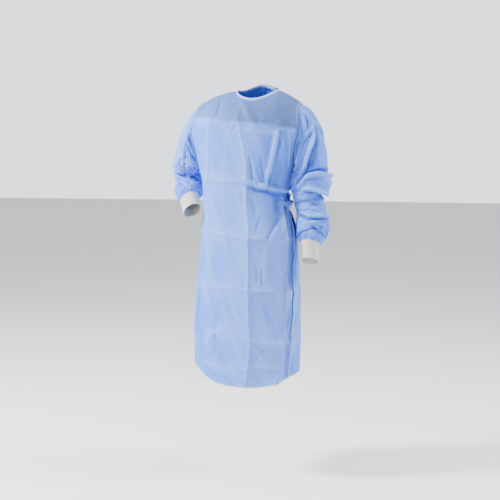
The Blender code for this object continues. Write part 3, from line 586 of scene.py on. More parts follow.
@dataclass(frozen=True)
class PanelForm:
    """How the front and back panels lie on the body."""

    body: BodyForm = field(default_factory=BodyForm)
    rows: int = 264
    roll_path: float = 0.13 * RIGHT_ANGLE
    armhole_columns: tuple[str, ...] = ("roll_deg", "drop", "edge_deg")
    armhole: Table = (
        (0.0, 0.0, 0.0),
        (14.0, 0.0, 14.0),
        (29.0, 0.0, 22.0),
        (46.0, 0.0, 25.0),
        (66.0, 0.0, 24.0),
        (90.0, 0.130, 22.0),
        (90.0, 0.180, 20.0),
        (90.0, 0.225, 17.0),
        (90.0, 0.265, 11.0),
        (90.0, 0.300, 0.0),
    )
    evening_start_drop: float = 0.05
    evening_end_drop: float = 0.55
    edge_columns: tuple[str, ...] = ("drop", "wrap_edge_deg", "under_edge_deg")
    edges: Table = (
        (0.000, 288.0, 275.0),
        (0.130, 297.0, 262.0),
        (0.240, 312.0, 248.0),
        (0.340, 334.0, 239.0),
        (0.440, 353.0, 234.0),
        (0.530, 358.0, 233.0),
        (0.630, 364.0, 232.0),
        (0.750, 374.0, 232.0),
        (0.900, 381.0, 232.0),
        (1.200, 387.0, 232.0),
    )
    wrap_lift: float = 0.0055
    wrap_lift_lead_deg: float = 13.0
    wrap_lift_lead_gain_deg: float = 20.0
    wrap_lift_lead_drop: float = 0.20
    edge_curl: float = 0.005
    edge_curl_drop: float = 0.53
    edge_curl_reach: float = 0.075
    edge_curl_span_deg: float = 14.0

    @property
    def length(self) -> float:
        """Return a panel's path from the shoulder seam to the hem."""
        return self.roll_path + self.body.hem_drop - self.body.roll_height

    @property
    def armpit_path(self) -> float:
        """Return the path from the shoulder seam to the armpit."""
        return self.roll_path + self.body.armpit_drop - self.body.roll_height

    def levels(self, path: np.ndarray) -> tuple[np.ndarray, np.ndarray]:
        """Return the roll and the drop at each path below the shoulder seam."""
        roll = np.minimum(path / self.roll_path, 1.0) * RIGHT_ANGLE
        rolled = self.body.roll_height * (1.0 - np.cos(roll))
        return roll, rolled + np.maximum(path - self.roll_path, 0.0)

    def armhole_edge(self, path: np.ndarray) -> np.ndarray:
        """Return how far in front of or behind the side a panel ends, at each path."""
        rolls = column(self.armhole, self.armhole_columns, "roll_deg") / 90.0 * self.roll_path
        drops = column(self.armhole, self.armhole_columns, "drop") - self.body.roll_height
        paths = rolls + np.maximum(drops, 0.0)
        edges = column(self.armhole, self.armhole_columns, "edge_deg")
        return np.radians(smooth_values(path, paths, edges))

    def free_edge(self, name: str, drop: np.ndarray) -> np.ndarray:
        """Return the angle of a back half's free edge at each drop."""
        drops = column(self.edges, self.edge_columns, "drop")
        return np.radians(smooth_values(drop, drops, column(self.edges, self.edge_columns, name)))

    def angles(
        self, shares: np.ndarray, path: np.ndarray, stops: Row, counts: Row, start: np.ndarray, end: np.ndarray
    ) -> np.ndarray:
        """Return a panel's angles, spaced as the top is above and evenly at the hem.

        Args:
            shares: The place across the panel, from 0 to 1.
            path: The path below the shoulder seam.
            stops: The angles at the top, where the neck and the shoulders end.
            counts: How the width is shared out between the stops.
            start: The angle of the first edge at each path.
            end: The angle of the last edge at each path.

        Returns:
            The angle at each place.
        """
        marks = np.concatenate(([0.0], np.cumsum(counts))) / sum(counts)
        top = np.interp(shares, marks, stops)
        top_share = (top - stops[0]) / (stops[-1] - stops[0])
        drop = self.levels(path)[1]
        evenness = smoothstep(self.evening_start_drop, self.evening_end_drop, drop)
        return start + (end - start) * (top_share + (shares - top_share) * evenness)

    def point(self, angle: np.ndarray, path: np.ndarray, lift: np.ndarray | float = 0.0) -> np.ndarray:
        """Return a panel's points at each angle and path."""
        body = self.body
        roll, drop = self.levels(path)
        top = body.top_roll(angle)
        turned = top + (RIGHT_ANGLE - top) * roll / RIGHT_ANGLE
        drop = np.where(path < self.roll_path, body.roll_height * (1.0 - np.cos(turned)), drop)
        share = (drop - body.waist_drop) / (body.hem_drop - body.waist_drop)
        lower = body.waist_drop + share * (body.hem_depth(angle) - body.waist_drop)
        drop = np.where(drop > body.waist_drop, lower, drop)
        return body.point(angle, turned, drop, lift)

    def lift(self, angle: np.ndarray, path: np.ndarray) -> np.ndarray:
        """Return how far the wrap stands off the body, over the half that it covers."""
        drop = self.levels(path)[1]
        degrees = np.degrees(angle)
        under = np.degrees(self.free_edge("under_edge_deg", drop))
        wrap = np.degrees(self.free_edge("wrap_edge_deg", drop))
        lead = self.wrap_lift_lead_deg
        lead = lead + self.wrap_lift_lead_gain_deg * smoothstep(0.0, self.wrap_lift_lead_drop, drop)
        lift = self.wrap_lift * smoothstep(under - lead, under - 1.0, degrees)
        curl = self.edge_curl * bell(drop - self.edge_curl_drop, self.edge_curl_reach)
        return lift + curl * smoothstep(wrap - self.edge_curl_span_deg, wrap, degrees)


class PanelName(Enum):
    """The three panels of the gown's body."""

    FRONT = "front_panel"
    WRAP = "back_wrap"
    UNDER = "back_under"


@dataclass(frozen=True)
class Panels:
    """The front panel and the two back halves, with the creases that cross them."""

    form: PanelForm = field(default_factory=PanelForm)
    seam: SeamLook = field(default_factory=SeamLook)
    thickness: float = 0.0011
    shoulder_share: int = 8
    front_neck_share: int = 8
    wrap_neck_share: int = 10
    under_neck_share: int = 5
    front_fineness: int = 7
    back_fineness: int = 8
    under_fineness: int = 5
    hem_turn: float = 0.009
    hem_turn_rise: float = 0.0005
    free_edge_turn: float = 0.012
    ripple_height: float = 0.0011
    ripple_length: float = 0.055
    fold_gain: float = 1.7
    fold_spread: float = 0.88

    def angle_grid(self, name: PanelName) -> tuple[np.ndarray, np.ndarray]:
        """Return a panel's angles and paths as two grids."""
        form = self.form
        body = form.body
        left_neck = body.neck_angle(1.0)
        right_neck = body.neck_angle(-1.0)
        wrap_top = float(form.free_edge("wrap_edge_deg", np.array(0.0)))
        under_top = float(form.free_edge("under_edge_deg", np.array(0.0)))
        side = self.shoulder_share
        stops, counts, fineness = {
            PanelName.FRONT: (
                (0.0, left_neck, right_neck, math.pi), (side, self.front_neck_share, side), self.front_fineness,
            ),
            PanelName.WRAP: (
                (math.pi, FULL_TURN - right_neck, wrap_top), (side, self.wrap_neck_share), self.back_fineness,
            ),
            PanelName.UNDER: (
                (under_top, FULL_TURN - left_neck, FULL_TURN), (self.under_neck_share, side), self.under_fineness,
            ),
        }[name]
        shares = np.linspace(0.0, 1.0, sum(counts) * fineness + 1)
        path, across = np.meshgrid(np.linspace(0.0, form.length, form.rows + 1), shares, indexing="ij")
        edge = form.armhole_edge(path)
        drop = form.levels(path)[1]
        start, end = {
            PanelName.FRONT: (edge, math.pi - edge),
            PanelName.WRAP: (math.pi + edge, form.free_edge("wrap_edge_deg", drop)),
            PanelName.UNDER: (form.free_edge("under_edge_deg", drop), FULL_TURN - edge),
        }[name]
        return form.angles(across, path, stops, counts, start, end), path

    def base_points(self, name: PanelName) -> np.ndarray:
        """Return a panel's smooth points, before its creases."""
        angle, path = self.angle_grid(name)
        lift = self.form.lift(angle, path) if name is PanelName.WRAP else 0.0
        return self.form.point(angle, path, lift)

    def body_relief(self, angle: np.ndarray, path: np.ndarray, points: np.ndarray) -> np.ndarray:
        """Return how far the creases move the cloth of the body."""
        form = self.form
        drop = form.levels(path)[1]
        measure = form.body.measure
        height = points[..., 2]
        relief = np.zeros(angle.shape)
        girth = measure.girth(drop)
        for side, folds in ((Side.FRONT, FRONT_FOLDS), (Side.BACK, BACK_FOLDS)):
            around = measure.around(angle, drop, side)
            for fold in folds:
                middle = sum(place[0] for place in fold.path) / len(fold.path)
                near = (around - middle + girth / 2.0) % girth - girth / 2.0 + middle
                relief += self.fold_gain * fold.relief(near, height, self.fold_spread)
        around = measure.around(angle, drop, Side.FRONT)
        turn = around / girth * FULL_TURN
        uneven = ripples(np.cos(turn) * 0.19, np.sin(turn) * 0.19 + height * 0.45, self.ripple_length, 7)
        return relief + self.ripple_height * uneven

    def edge_gaps(self, name: PanelName, points: np.ndarray) -> dict[str, tuple[np.ndarray, np.ndarray]]:
        """Return the run along and the gap to each edge of a panel."""
        down = walked(points, 0)
        across = walked(points, 1)
        start, end = {
            PanelName.FRONT: ("seam_start", "seam_end"),
            PanelName.WRAP: ("seam_start", "free"),
            PanelName.UNDER: ("free", "seam_end"),
        }[name]
        return {
            "top": (across, down),
            "hem": (across, down[-1:] - down),
            start: (down, across),
            end: (down, across[:, -1:] - across),
        }

    def cloth(self, name: PanelName) -> Cloth:
        """Return a panel's finished grid of cloth."""
        angle, path = self.angle_grid(name)
        points = self.base_points(name)
        gaps = self.edge_gaps(name, points)
        relief = self.body_relief(angle, path, points)
        sewn_gap = np.full(angle.shape, np.inf)
        stitch_gap = np.full(angle.shape, np.inf)
        stitch_run = np.zeros(angle.shape)
        turned = np.zeros(angle.shape)
        for edge, (run, gap) in gaps.items():
            closer = gap < stitch_gap
            stitch_gap = np.where(closer, gap, stitch_gap)
            stitch_run = np.where(closer, run, stitch_run)
            if edge in ("hem", "free"):
                width = self.hem_turn if edge == "hem" else self.free_edge_turn
                turned = np.maximum(turned, 1.0 - smoothstep(width * 0.8, width * 1.2, gap))
            else:
                sewn_gap = np.minimum(sewn_gap, gap)
        fade = smoothstep(0.0, 0.012, sewn_gap)
        moved = relief * fade + turned * self.hem_turn_rise
        for seed, (edge, (run, gap)) in enumerate(gaps.items()):
            if edge not in ("hem", "free"):
                moved += self.seam.relief(run, gap, seed)
        normals = grid_normals(points, False)
        lay = np.stack((walked(points, 1), -path), axis=-1)
        stitch = np.stack((stitch_run, stitch_gap), axis=-1)
        # How far each point lies in a trough or on a ridge, from which the material paints shade and highlight.
        shade = np.clip(relief / SHADE_DEPTH, -1.0, 1.0)
        tone = np.zeros(angle.shape)
        if name is PanelName.FRONT:
            tone = CHEST_TONE.mask(points)
        return Cloth(points + normals * moved[..., None], lay, stitch, shade, tone)

    def build(self, material: bpy.types.Material) -> list[bpy.types.Object]:
        """Make the three panels, hang them on the body and hide the parts that they stand for."""
        pieces = []
        for name in PanelName:
            piece = cloth_object(f"{name.value}_cloth", self.cloth(name), self.thickness, material)
            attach(piece, BODY)
            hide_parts(name.value)
            pieces.append(piece)
        return pieces


@dataclass(frozen=True)
class ChestTone:
    """The greyer cloth of the upper chest, where it lies close over the chest."""

    line: Table = ((-0.24, -0.100), (-0.11, -0.117), (0.0, -0.125), (0.12, -0.140), (0.24, -0.160))
    softness: float = 0.008

    def mask(self, points: np.ndarray) -> np.ndarray:
        """Return how grey the cloth is at each point, from 0 to 1."""
        x = points[..., 0]
        line = np.interp(x, [row[0] for row in self.line], [row[1] for row in self.line])
        above = smoothstep(line - self.softness, line + self.softness, points[..., 2])
        # Painted shade: the grey deepens towards the wearer's left, the side turned from the key lamp.
        painted_side_shade = 0.70 + 0.30 * smoothstep(-0.16, 0.07, x)
        return above * painted_side_shade


CHEST_TONE = ChestTone()
SHADE_DEPTH = 0.005


@dataclass(frozen=True)
class SleeveForm:
    """How one sleeve lies, from its armhole to its cuff."""

    stations: Table
    folds: Table
    crowding: float
    columns: tuple[str, ...] = ("outer_x", "outer_y", "outer_z", "inner_x", "inner_y", "inner_z", "half_depth")
    fold_columns: tuple[str, ...] = ("along", "around_deg", "along_reach", "around_reach_deg", "height", "lean")
    marks: int = 24
    blend_stations: float = 3.0
    turn_start: float = 0.5
    turn_end: float = 6.5

    def shape(self, name: str, mark: np.ndarray) -> np.ndarray:
        """Return one size of the sleeve at each mark along it, from 0 to the last mark."""
        last = len(self.stations) - 1
        place = last * np.clip(mark / self.marks, 0.0, 1.0) ** self.crowding
        places = np.arange(len(self.stations), dtype=float)
        return smooth_values(place, places, column(self.stations, self.columns, name))

    def line(self, name: str, mark: np.ndarray) -> np.ndarray:
        """Return the outer or inner line's points at each mark."""
        return np.stack([self.shape(f"{name}_{axis}", mark) for axis in "xyz"], axis=-1)

    def fold_height(self, along: np.ndarray, around: np.ndarray) -> np.ndarray:
        """Return how far the sleeve's rolls stand out or in."""
        height = np.zeros(np.broadcast(along, around).shape)
        for row in self.folds:
            fold = dict(zip(self.fold_columns, row))
            turn = (np.degrees(around) - fold["around_deg"] + 180.0) % 360.0 - 180.0
            run = along - fold["along"] - fold["lean"] * turn / 360.0
            height += fold["height"] * bell(run, fold["along_reach"]) * bell(turn, fold["around_reach_deg"])
        return height

    def rings(self, loop: np.ndarray, turns: np.ndarray, count: int) -> np.ndarray:
        """Return the sleeve's rings of points.

        Args:
            loop: The armhole's points, one for each turn.
            turns: The turns round the sleeve, from its outer line to the front.
            count: How many rings there are.

        Returns:
            The points, as rings x turns x 3.
        """
        marks = np.linspace(0.0, self.marks, count)
        last = len(self.stations) - 1
        stations = last * (marks / self.marks) ** self.crowding
        outer = self.line("outer", marks)
        inner = self.line("inner", marks)
        centre = (outer + inner) / 2.0
        half = (outer - inner) / 2.0
        after = np.minimum(marks + 1.0, self.marks)
        before = np.maximum(marks - 1.0, 0.0)
        ahead = (self.line("outer", after) + self.line("inner", after)) / 2.0
        behind = (self.line("outer", before) + self.line("inner", before)) / 2.0
        side = np.cross(ahead - behind, half)
        side /= np.linalg.norm(side, axis=1, keepdims=True)
        armhole_front = np.array((0.0, -1.0, 0.0))
        front = armhole_front
        for k in range(count):
            if side[k] @ front < 0.0:
                side[k] = -side[k]
            front = side[k]
        turn = smoothstep(self.turn_start, self.turn_end, stations)[:, None]
        side = armhole_front * (1.0 - turn) + side * turn
        side -= half * (np.sum(side * half, axis=1) / np.sum(half * half, axis=1))[:, None]
        side /= np.linalg.norm(side, axis=1, keepdims=True)
        depth = self.shape("half_depth", marks)[:, None, None]
        cosine = np.cos(turns)[None, :, None]
        sine = np.sin(turns)[None, :, None]
        spoke = half[:, None, :] * cosine + side[:, None, :] * depth * sine
        unit = spoke / np.linalg.norm(spoke, axis=2, keepdims=True)
        height = self.fold_height((stations / last)[:, None], turns[None, :])
        points = centre[:, None, :] + spoke + unit * height[..., None]
        miss = loop - points[0]
        weight = 1.0 - smoothstep(0.0, self.blend_stations, stations)
        return points + miss[None] * weight[:, None, None]


@dataclass(frozen=True)
class Sleeve:
    """One sleeve with its wrinkles."""

    side_name: str
    form: SleeveForm
    wrinkles: tuple[Fold, ...]
    right: bool
    rings: int = 170
    turns: int = 120
    thickness: float = 0.0011
    mean_radius: float = 0.066
    ripple_height: float = 0.0018
    ripple_length: float = 0.040
    fold_gain: float = 1.35
    fold_spread: float = 0.74
    gather_count: int = 17
    gather_height: float = 0.0022
    gather_reach: float = 0.030
    seam: SeamLook = SeamLook(trough=0.0034, trough_reach=0.0065)

    def turn_places(self) -> np.ndarray:
        """Return the turns round the sleeve in the order of its columns."""
        turns = np.linspace(0.0, FULL_TURN, self.turns + 1)
        return turns[::-1] if self.right else turns

    def armhole(self, panels: Panels, turns: np.ndarray) -> np.ndarray:
        """Return the armhole's point at each turn, down its front and up its back.

        Args:
            panels: The panels that the sleeve is sewn to.
            turns: The turns round the sleeve.

        Returns:
            One point for each turn.
        """
        form = panels.form
        path = np.linspace(0.0, form.armpit_path, 400)
        edge = form.armhole_edge(path)
        front = math.pi - edge if self.right else edge
        back = math.pi + edge if self.right else FULL_TURN - edge
        lift = form.lift(back, path) if self.right else 0.0
        turn = turns % FULL_TURN
        points = np.zeros((len(turns), 3))
        for half, angle, off in (("front", front, 0.0), ("back", back, lift)):
            line = form.point(angle, path, off)
            walk = np.concatenate(([0.0], np.cumsum(np.linalg.norm(np.diff(line, axis=0), axis=1))))
            share = turn / math.pi if half == "front" else 2.0 - turn / math.pi
            chosen = share <= 1.0
            for axis in range(3):
                values = np.interp(np.clip(share, 0.0, 1.0) * walk[-1], walk, line[:, axis])
                points[chosen, axis] = values[chosen]
        return points

    def base_points(self, panels: Panels) -> np.ndarray:
        """Return the sleeve's smooth rings, before its wrinkles."""
        turns = self.turn_places()
        return self.form.rings(self.armhole(panels, turns), turns, self.rings + 1)

    def places(self, points: np.ndarray) -> tuple[np.ndarray, np.ndarray]:
        """Return how far round from the outer line and how far along each point lies."""
        turns = self.turn_places()
        turned = (turns + math.pi) % FULL_TURN - math.pi
        middle = points[:, :-1].mean(axis=1)
        walk = np.concatenate(([0.0], np.cumsum(np.linalg.norm(np.diff(middle, axis=0), axis=1))))
        return np.broadcast_arrays(turned[None, :] * self.mean_radius, walk[:, None])

    def cloth(self, panels: Panels) -> Cloth:
        """Return the sleeve's finished grid of cloth."""
        points = self.base_points(panels)
        around, along = self.places(points)
        girth = FULL_TURN * self.mean_radius
        relief = np.zeros(around.shape)
        for fold in self.wrinkles:
            middle = sum(place[0] for place in fold.path) / len(fold.path)
            near = (around - middle + girth / 2.0) % girth - girth / 2.0 + middle
            relief += self.fold_gain * fold.relief(near, along, self.fold_spread)
        turn = around / girth * FULL_TURN
        to_cuff = along[-1, 0] - along
        seed = 31 if self.right else 11
        relief += self.ripple_height * ripples(
            np.cos(turn) * self.mean_radius, np.sin(turn) * self.mean_radius + along * 1.6, self.ripple_length, seed
        )
        relief *= smoothstep(0.0, 0.015, along)
        drift = 0.5 * ripples(np.cos(turn) * 0.06, np.sin(turn) * 0.06, 0.05, seed + 1)
        gathers = np.cos(turn * self.gather_count + drift * 5.0) * (0.75 + 0.25 * drift)
        relief += self.gather_height * gathers * np.exp(-((to_cuff / self.gather_reach) ** 2))
        relief *= smoothstep(0.0, 0.004, to_cuff)
        down = walked(points, 0)
        round_run = walked(points, 1)
        moved = relief + self.seam.relief(round_run, down, seed + 2)
        normals = grid_normals(points, True)
        finished = points + normals * moved[..., None]
        finished[:, -1] = finished[:, 0]
        underarm = np.abs(np.abs(around) - girth / 2.0)
        closer = underarm < down
        stitch_gap = np.where(closer, underarm, down)
        stitch_run = np.where(closer, down, round_run)
        stitch = np.stack((stitch_run, stitch_gap), axis=-1)
        lay = np.stack((round_run, -along), axis=-1)
        # How far each point lies in a trough or on a ridge, from which the material paints shade and highlight.
        shade = np.clip(moved / SHADE_DEPTH, -1.0, 1.0)
        return Cloth(finished, lay, stitch, shade, np.zeros(around.shape), closed=True)

    def build(self, panels: Panels, material: bpy.types.Material) -> bpy.types.Object:
        """Make the sleeve, hang it on the body and hide the part that it stands for."""
        name = f"sleeve_{self.side_name}"
        piece = cloth_object(f"{name}_cloth", self.cloth(panels), self.thickness, material)
        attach(piece, BODY)
        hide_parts(name)
        return piece


@dataclass(frozen=True)
class Cuff:
    """A rib-knit cuff, which runs on from the end of its sleeve."""

    sleeve: Sleeve
    run: Row
    ribs: int = 84
    points_to_a_rib: int = 6
    rows: int = 30
    rib_height: float = 0.00035
    waist: float = 0.94
    waist_place: float = 0.625
    thickness: float = 0.0012
    seam_ridge: float = 0.0008

    def cloth(self, panels: Panels) -> Cloth:
        """Return the cuff's finished grid of knit."""
        order = -1.0 if self.sleeve.right else 1.0
        turns = np.linspace(0.0, FULL_TURN, self.ribs * self.points_to_a_rib + 1)[:: int(order)]
        loop = self.sleeve.armhole(panels, turns)
        ring = self.sleeve.form.rings(loop, turns, 25)[-1]
        centre = ring[:-1].mean(axis=0)
        share = np.linspace(0.0, 1.0, self.rows + 1)[:, None]
        narrow = 1.0 - (1.0 - self.waist) * np.sin(RIGHT_ANGLE * np.minimum(share / self.waist_place, 1.0))
        shift = np.array(self.run)[None, None, :] * share[..., None]
        points = centre + (ring - centre)[None] * narrow[..., None] + shift
        around, down = walked(points, 1), walked(points, 0)
        turn = np.broadcast_to(turns[None, :], around.shape)
        rib = np.cos(turn * self.ribs)
        uneven = ripples(np.cos(turn) * 0.035, np.sin(turn) * 0.035 + down * 0.5, 0.035, 3)
        relief = self.rib_height * (0.6 * rib + 0.4 * np.sign(rib) * np.abs(rib) ** 0.5)
        ends = smoothstep(0.0, 0.004, down) * smoothstep(0.0, 0.003, down[-1:] - down)
        relief = relief * (0.35 + 0.65 * ends) + 0.0009 * uneven * ends
        relief += self.seam_ridge * np.exp(-(((down - 0.003) / 0.0022) ** 2))
        normals = grid_normals(points, True)
        finished = points + normals * relief[..., None]
        finished[:, -1] = finished[:, 0]
        lay = np.stack((around, -down), axis=-1)
        stitch = np.stack((around, down), axis=-1)
        # The rib wave goes in the shade attribute, from which the knit paints shade between its ribs.
        return Cloth(finished, lay, stitch, rib, np.zeros(around.shape), closed=True)

    def build(self, panels: Panels, material: bpy.types.Material) -> bpy.types.Object:
        """Make the cuff, hang it on the body and hide the part that it stands for."""
        name = f"cuff_{self.sleeve.side_name}"
        piece = cloth_object(f"{name}_knit", self.cloth(panels), self.thickness, material)
        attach(piece, BODY)
        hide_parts(name)
        return piece


@dataclass(frozen=True)
class NeckBinding:
    """The narrow binding round the neck edge, from the under half round to the wrap."""

    height: float = 0.009
    upward_lean: float = 0.6
    seam_gap: float = 0.0003
    wall: float = 0.0024
    section_points: int = 14
    steps: tuple[int, int, int] = (50, 110, 90)
    pucker: float = 0.00035
    pucker_length: float = 0.012

    def neck_line(self, panels: Panels) -> tuple[np.ndarray, np.ndarray]:
        """Return the neckline's points and the cloth's outward direction at each."""
        form = panels.form
        left = form.body.neck_angle(1.0)
        right = form.body.neck_angle(-1.0)
        under = float(form.free_edge("under_edge_deg", np.array(0.0)))
        wrap = float(form.free_edge("wrap_edge_deg", np.array(0.0)))
        spans = (
            np.linspace(under, FULL_TURN - left, self.steps[0]),
            left + (right - left) * (1.0 - np.cos(np.linspace(0.0, math.pi, self.steps[1]))) / 2.0,
            np.linspace(FULL_TURN - right, wrap, self.steps[2]),
        )
        lines = []
        normals = []
        for k, angles in enumerate(spans):
            paths = np.array((0.0, 0.006, 0.012))
            path, angle = np.meshgrid(paths, angles, indexing="ij")
            lift = form.lift(angle, path) if k == 2 else 0.0
            points = form.point(angle, path, lift)
            normal = grid_normals(points, False)[0]
            cut = slice(0, None) if k == 0 else slice(1, None)
            lines.append(points[0][cut])
            normals.append(normal[cut])
        return np.concatenate(lines), np.concatenate(normals)

    def centre_lines(self, panels: Panels) -> tuple[np.ndarray, np.ndarray, np.ndarray]:
        """Return the binding's root line, its rise and its outward direction."""
        line, normal = self.neck_line(panels)
        for _ in range(6):
            normal[1:-1] = (normal[:-2] + normal[1:-1] + normal[2:]) / 3.0
        normal /= np.linalg.norm(normal, axis=1, keepdims=True)
        tangent = np.gradient(line, axis=0)
        away = np.cross(tangent, normal)
        away /= np.linalg.norm(away, axis=1, keepdims=True)
        rise = away + np.array((0.0, 0.0, self.upward_lean))
        rise /= np.linalg.norm(rise, axis=1, keepdims=True)
        out = np.cross(rise, tangent)
        out /= np.linalg.norm(out, axis=1, keepdims=True)
        flip = np.sign(np.sum(out * normal, axis=1, keepdims=True))
        return line + away * self.seam_gap, rise, out * flip

    def build(self, panels: Panels, material: bpy.types.Material) -> bpy.types.Object:
        """Sweep the folded strip along the neck and close its ends."""
        root, rise, out = self.centre_lines(panels)
        turns = np.linspace(0.0, FULL_TURN, self.section_points + 1)
        tall = self.height / 2.0
        up = tall - tall * np.sign(np.cos(turns)) * np.abs(np.cos(turns)) ** 0.75
        thick = -self.wall / 2.0 + self.wall / 2.0 * np.sign(np.sin(turns)) * np.abs(np.sin(turns)) ** 0.6
        run = np.concatenate(([0.0], np.cumsum(np.linalg.norm(np.diff(root, axis=0), axis=1))))
        wave = self.pucker * ripples(run[:, None], up[None, :] * 0.5, self.pucker_length, 5)
        up_part = rise[:, None, :] * up[None, :, None]
        out_part = out[:, None, :] * (thick[None, :] + wave * np.sin(turns)[None, :])[..., None]
        points = root[:, None, :] + up_part + out_part
        points[:, -1] = points[:, 0]
        lay = np.stack(np.broadcast_arrays(run[:, None], up[None, :]), axis=-1)
        piece = tube_piece("neck_binding_strip", points, lay, material)
        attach(piece, BODY)
        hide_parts("neck_binding")
        return piece


@dataclass(frozen=True)
class NeckTab:
    """The small tab on the end of the wrap, at the neck."""

    back_run_deg: float = 15.0
    depth: float = 0.0317
    reach: float = 0.016
    clearance: float = 0.0004
    thickness: float = 0.0015
    cells: tuple[int, int] = (28, 26)
    corner: float = 0.16
    curl: float = 0.0025
    flat: Row = (0.036, 0.040)

    def build(self, panels: Panels, binding: NeckBinding, material: bpy.types.Material) -> bpy.types.Object:
        """Lay the tab over the binding and the wrap, and round its free corners."""
        form = panels.form
        wrap = float(form.free_edge("wrap_edge_deg", np.array(0.0)))
        angles = np.linspace(wrap - math.radians(self.back_run_deg), wrap, 12)
        path, angle = np.meshgrid(np.linspace(0.0, self.depth, 10), angles, indexing="ij")
        body = form.point(angle, path, form.lift(angle, path))
        out = grid_normals(body, False)
        root, rise, _ = binding.centre_lines(panels)
        top = root[-1] + rise[-1] * binding.height - body[0, -1]
        rows = np.concatenate((body[:1] + top, body), axis=0)
        normals = np.concatenate((out[:1], out), axis=0)
        rows = rows + normals * (self.clearance + self.thickness)
        ahead = rows[:, -1] - rows[:, -2]
        ahead /= np.linalg.norm(ahead, axis=1, keepdims=True)
        extra = [rows[:, -1:] + ahead[:, None, :] * self.reach * share for share in (0.25, 0.5, 0.75, 1.0)]
        curl = [normals[:, -1:] * self.curl * share**2 for share in (0.25, 0.5, 0.75, 1.0)]
        rows = np.concatenate([rows] + [line + lift for line, lift in zip(extra, curl)], axis=1)
        across = np.linspace(0.0, 1.0, self.cells[0] + 1)[None, :]
        down = np.linspace(0.0, 1.0, self.cells[1] + 1)[:, None]
        edge = np.clip((across - 1.0 + self.corner) / self.corner, 0.0, 1.0)
        squeeze = 1.0 - (1.0 - np.sqrt(1.0 - edge**2)) * self.corner
        points = sampled(rows, 0.5 + (down - 0.5) * squeeze, np.broadcast_to(across, (down.size, across.size)))
        flat = np.stack(np.broadcast_arrays(across * self.flat[0], down * self.flat[1]), axis=-1)
        blank = np.zeros(points.shape[:2])
        cloth = Cloth(points, flat, flat + 1.0, blank, blank)
        piece = cloth_object("neck_tab_cloth", cloth, self.thickness, material)
        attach(piece, BODY)
        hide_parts("neck_tab")
        return piece


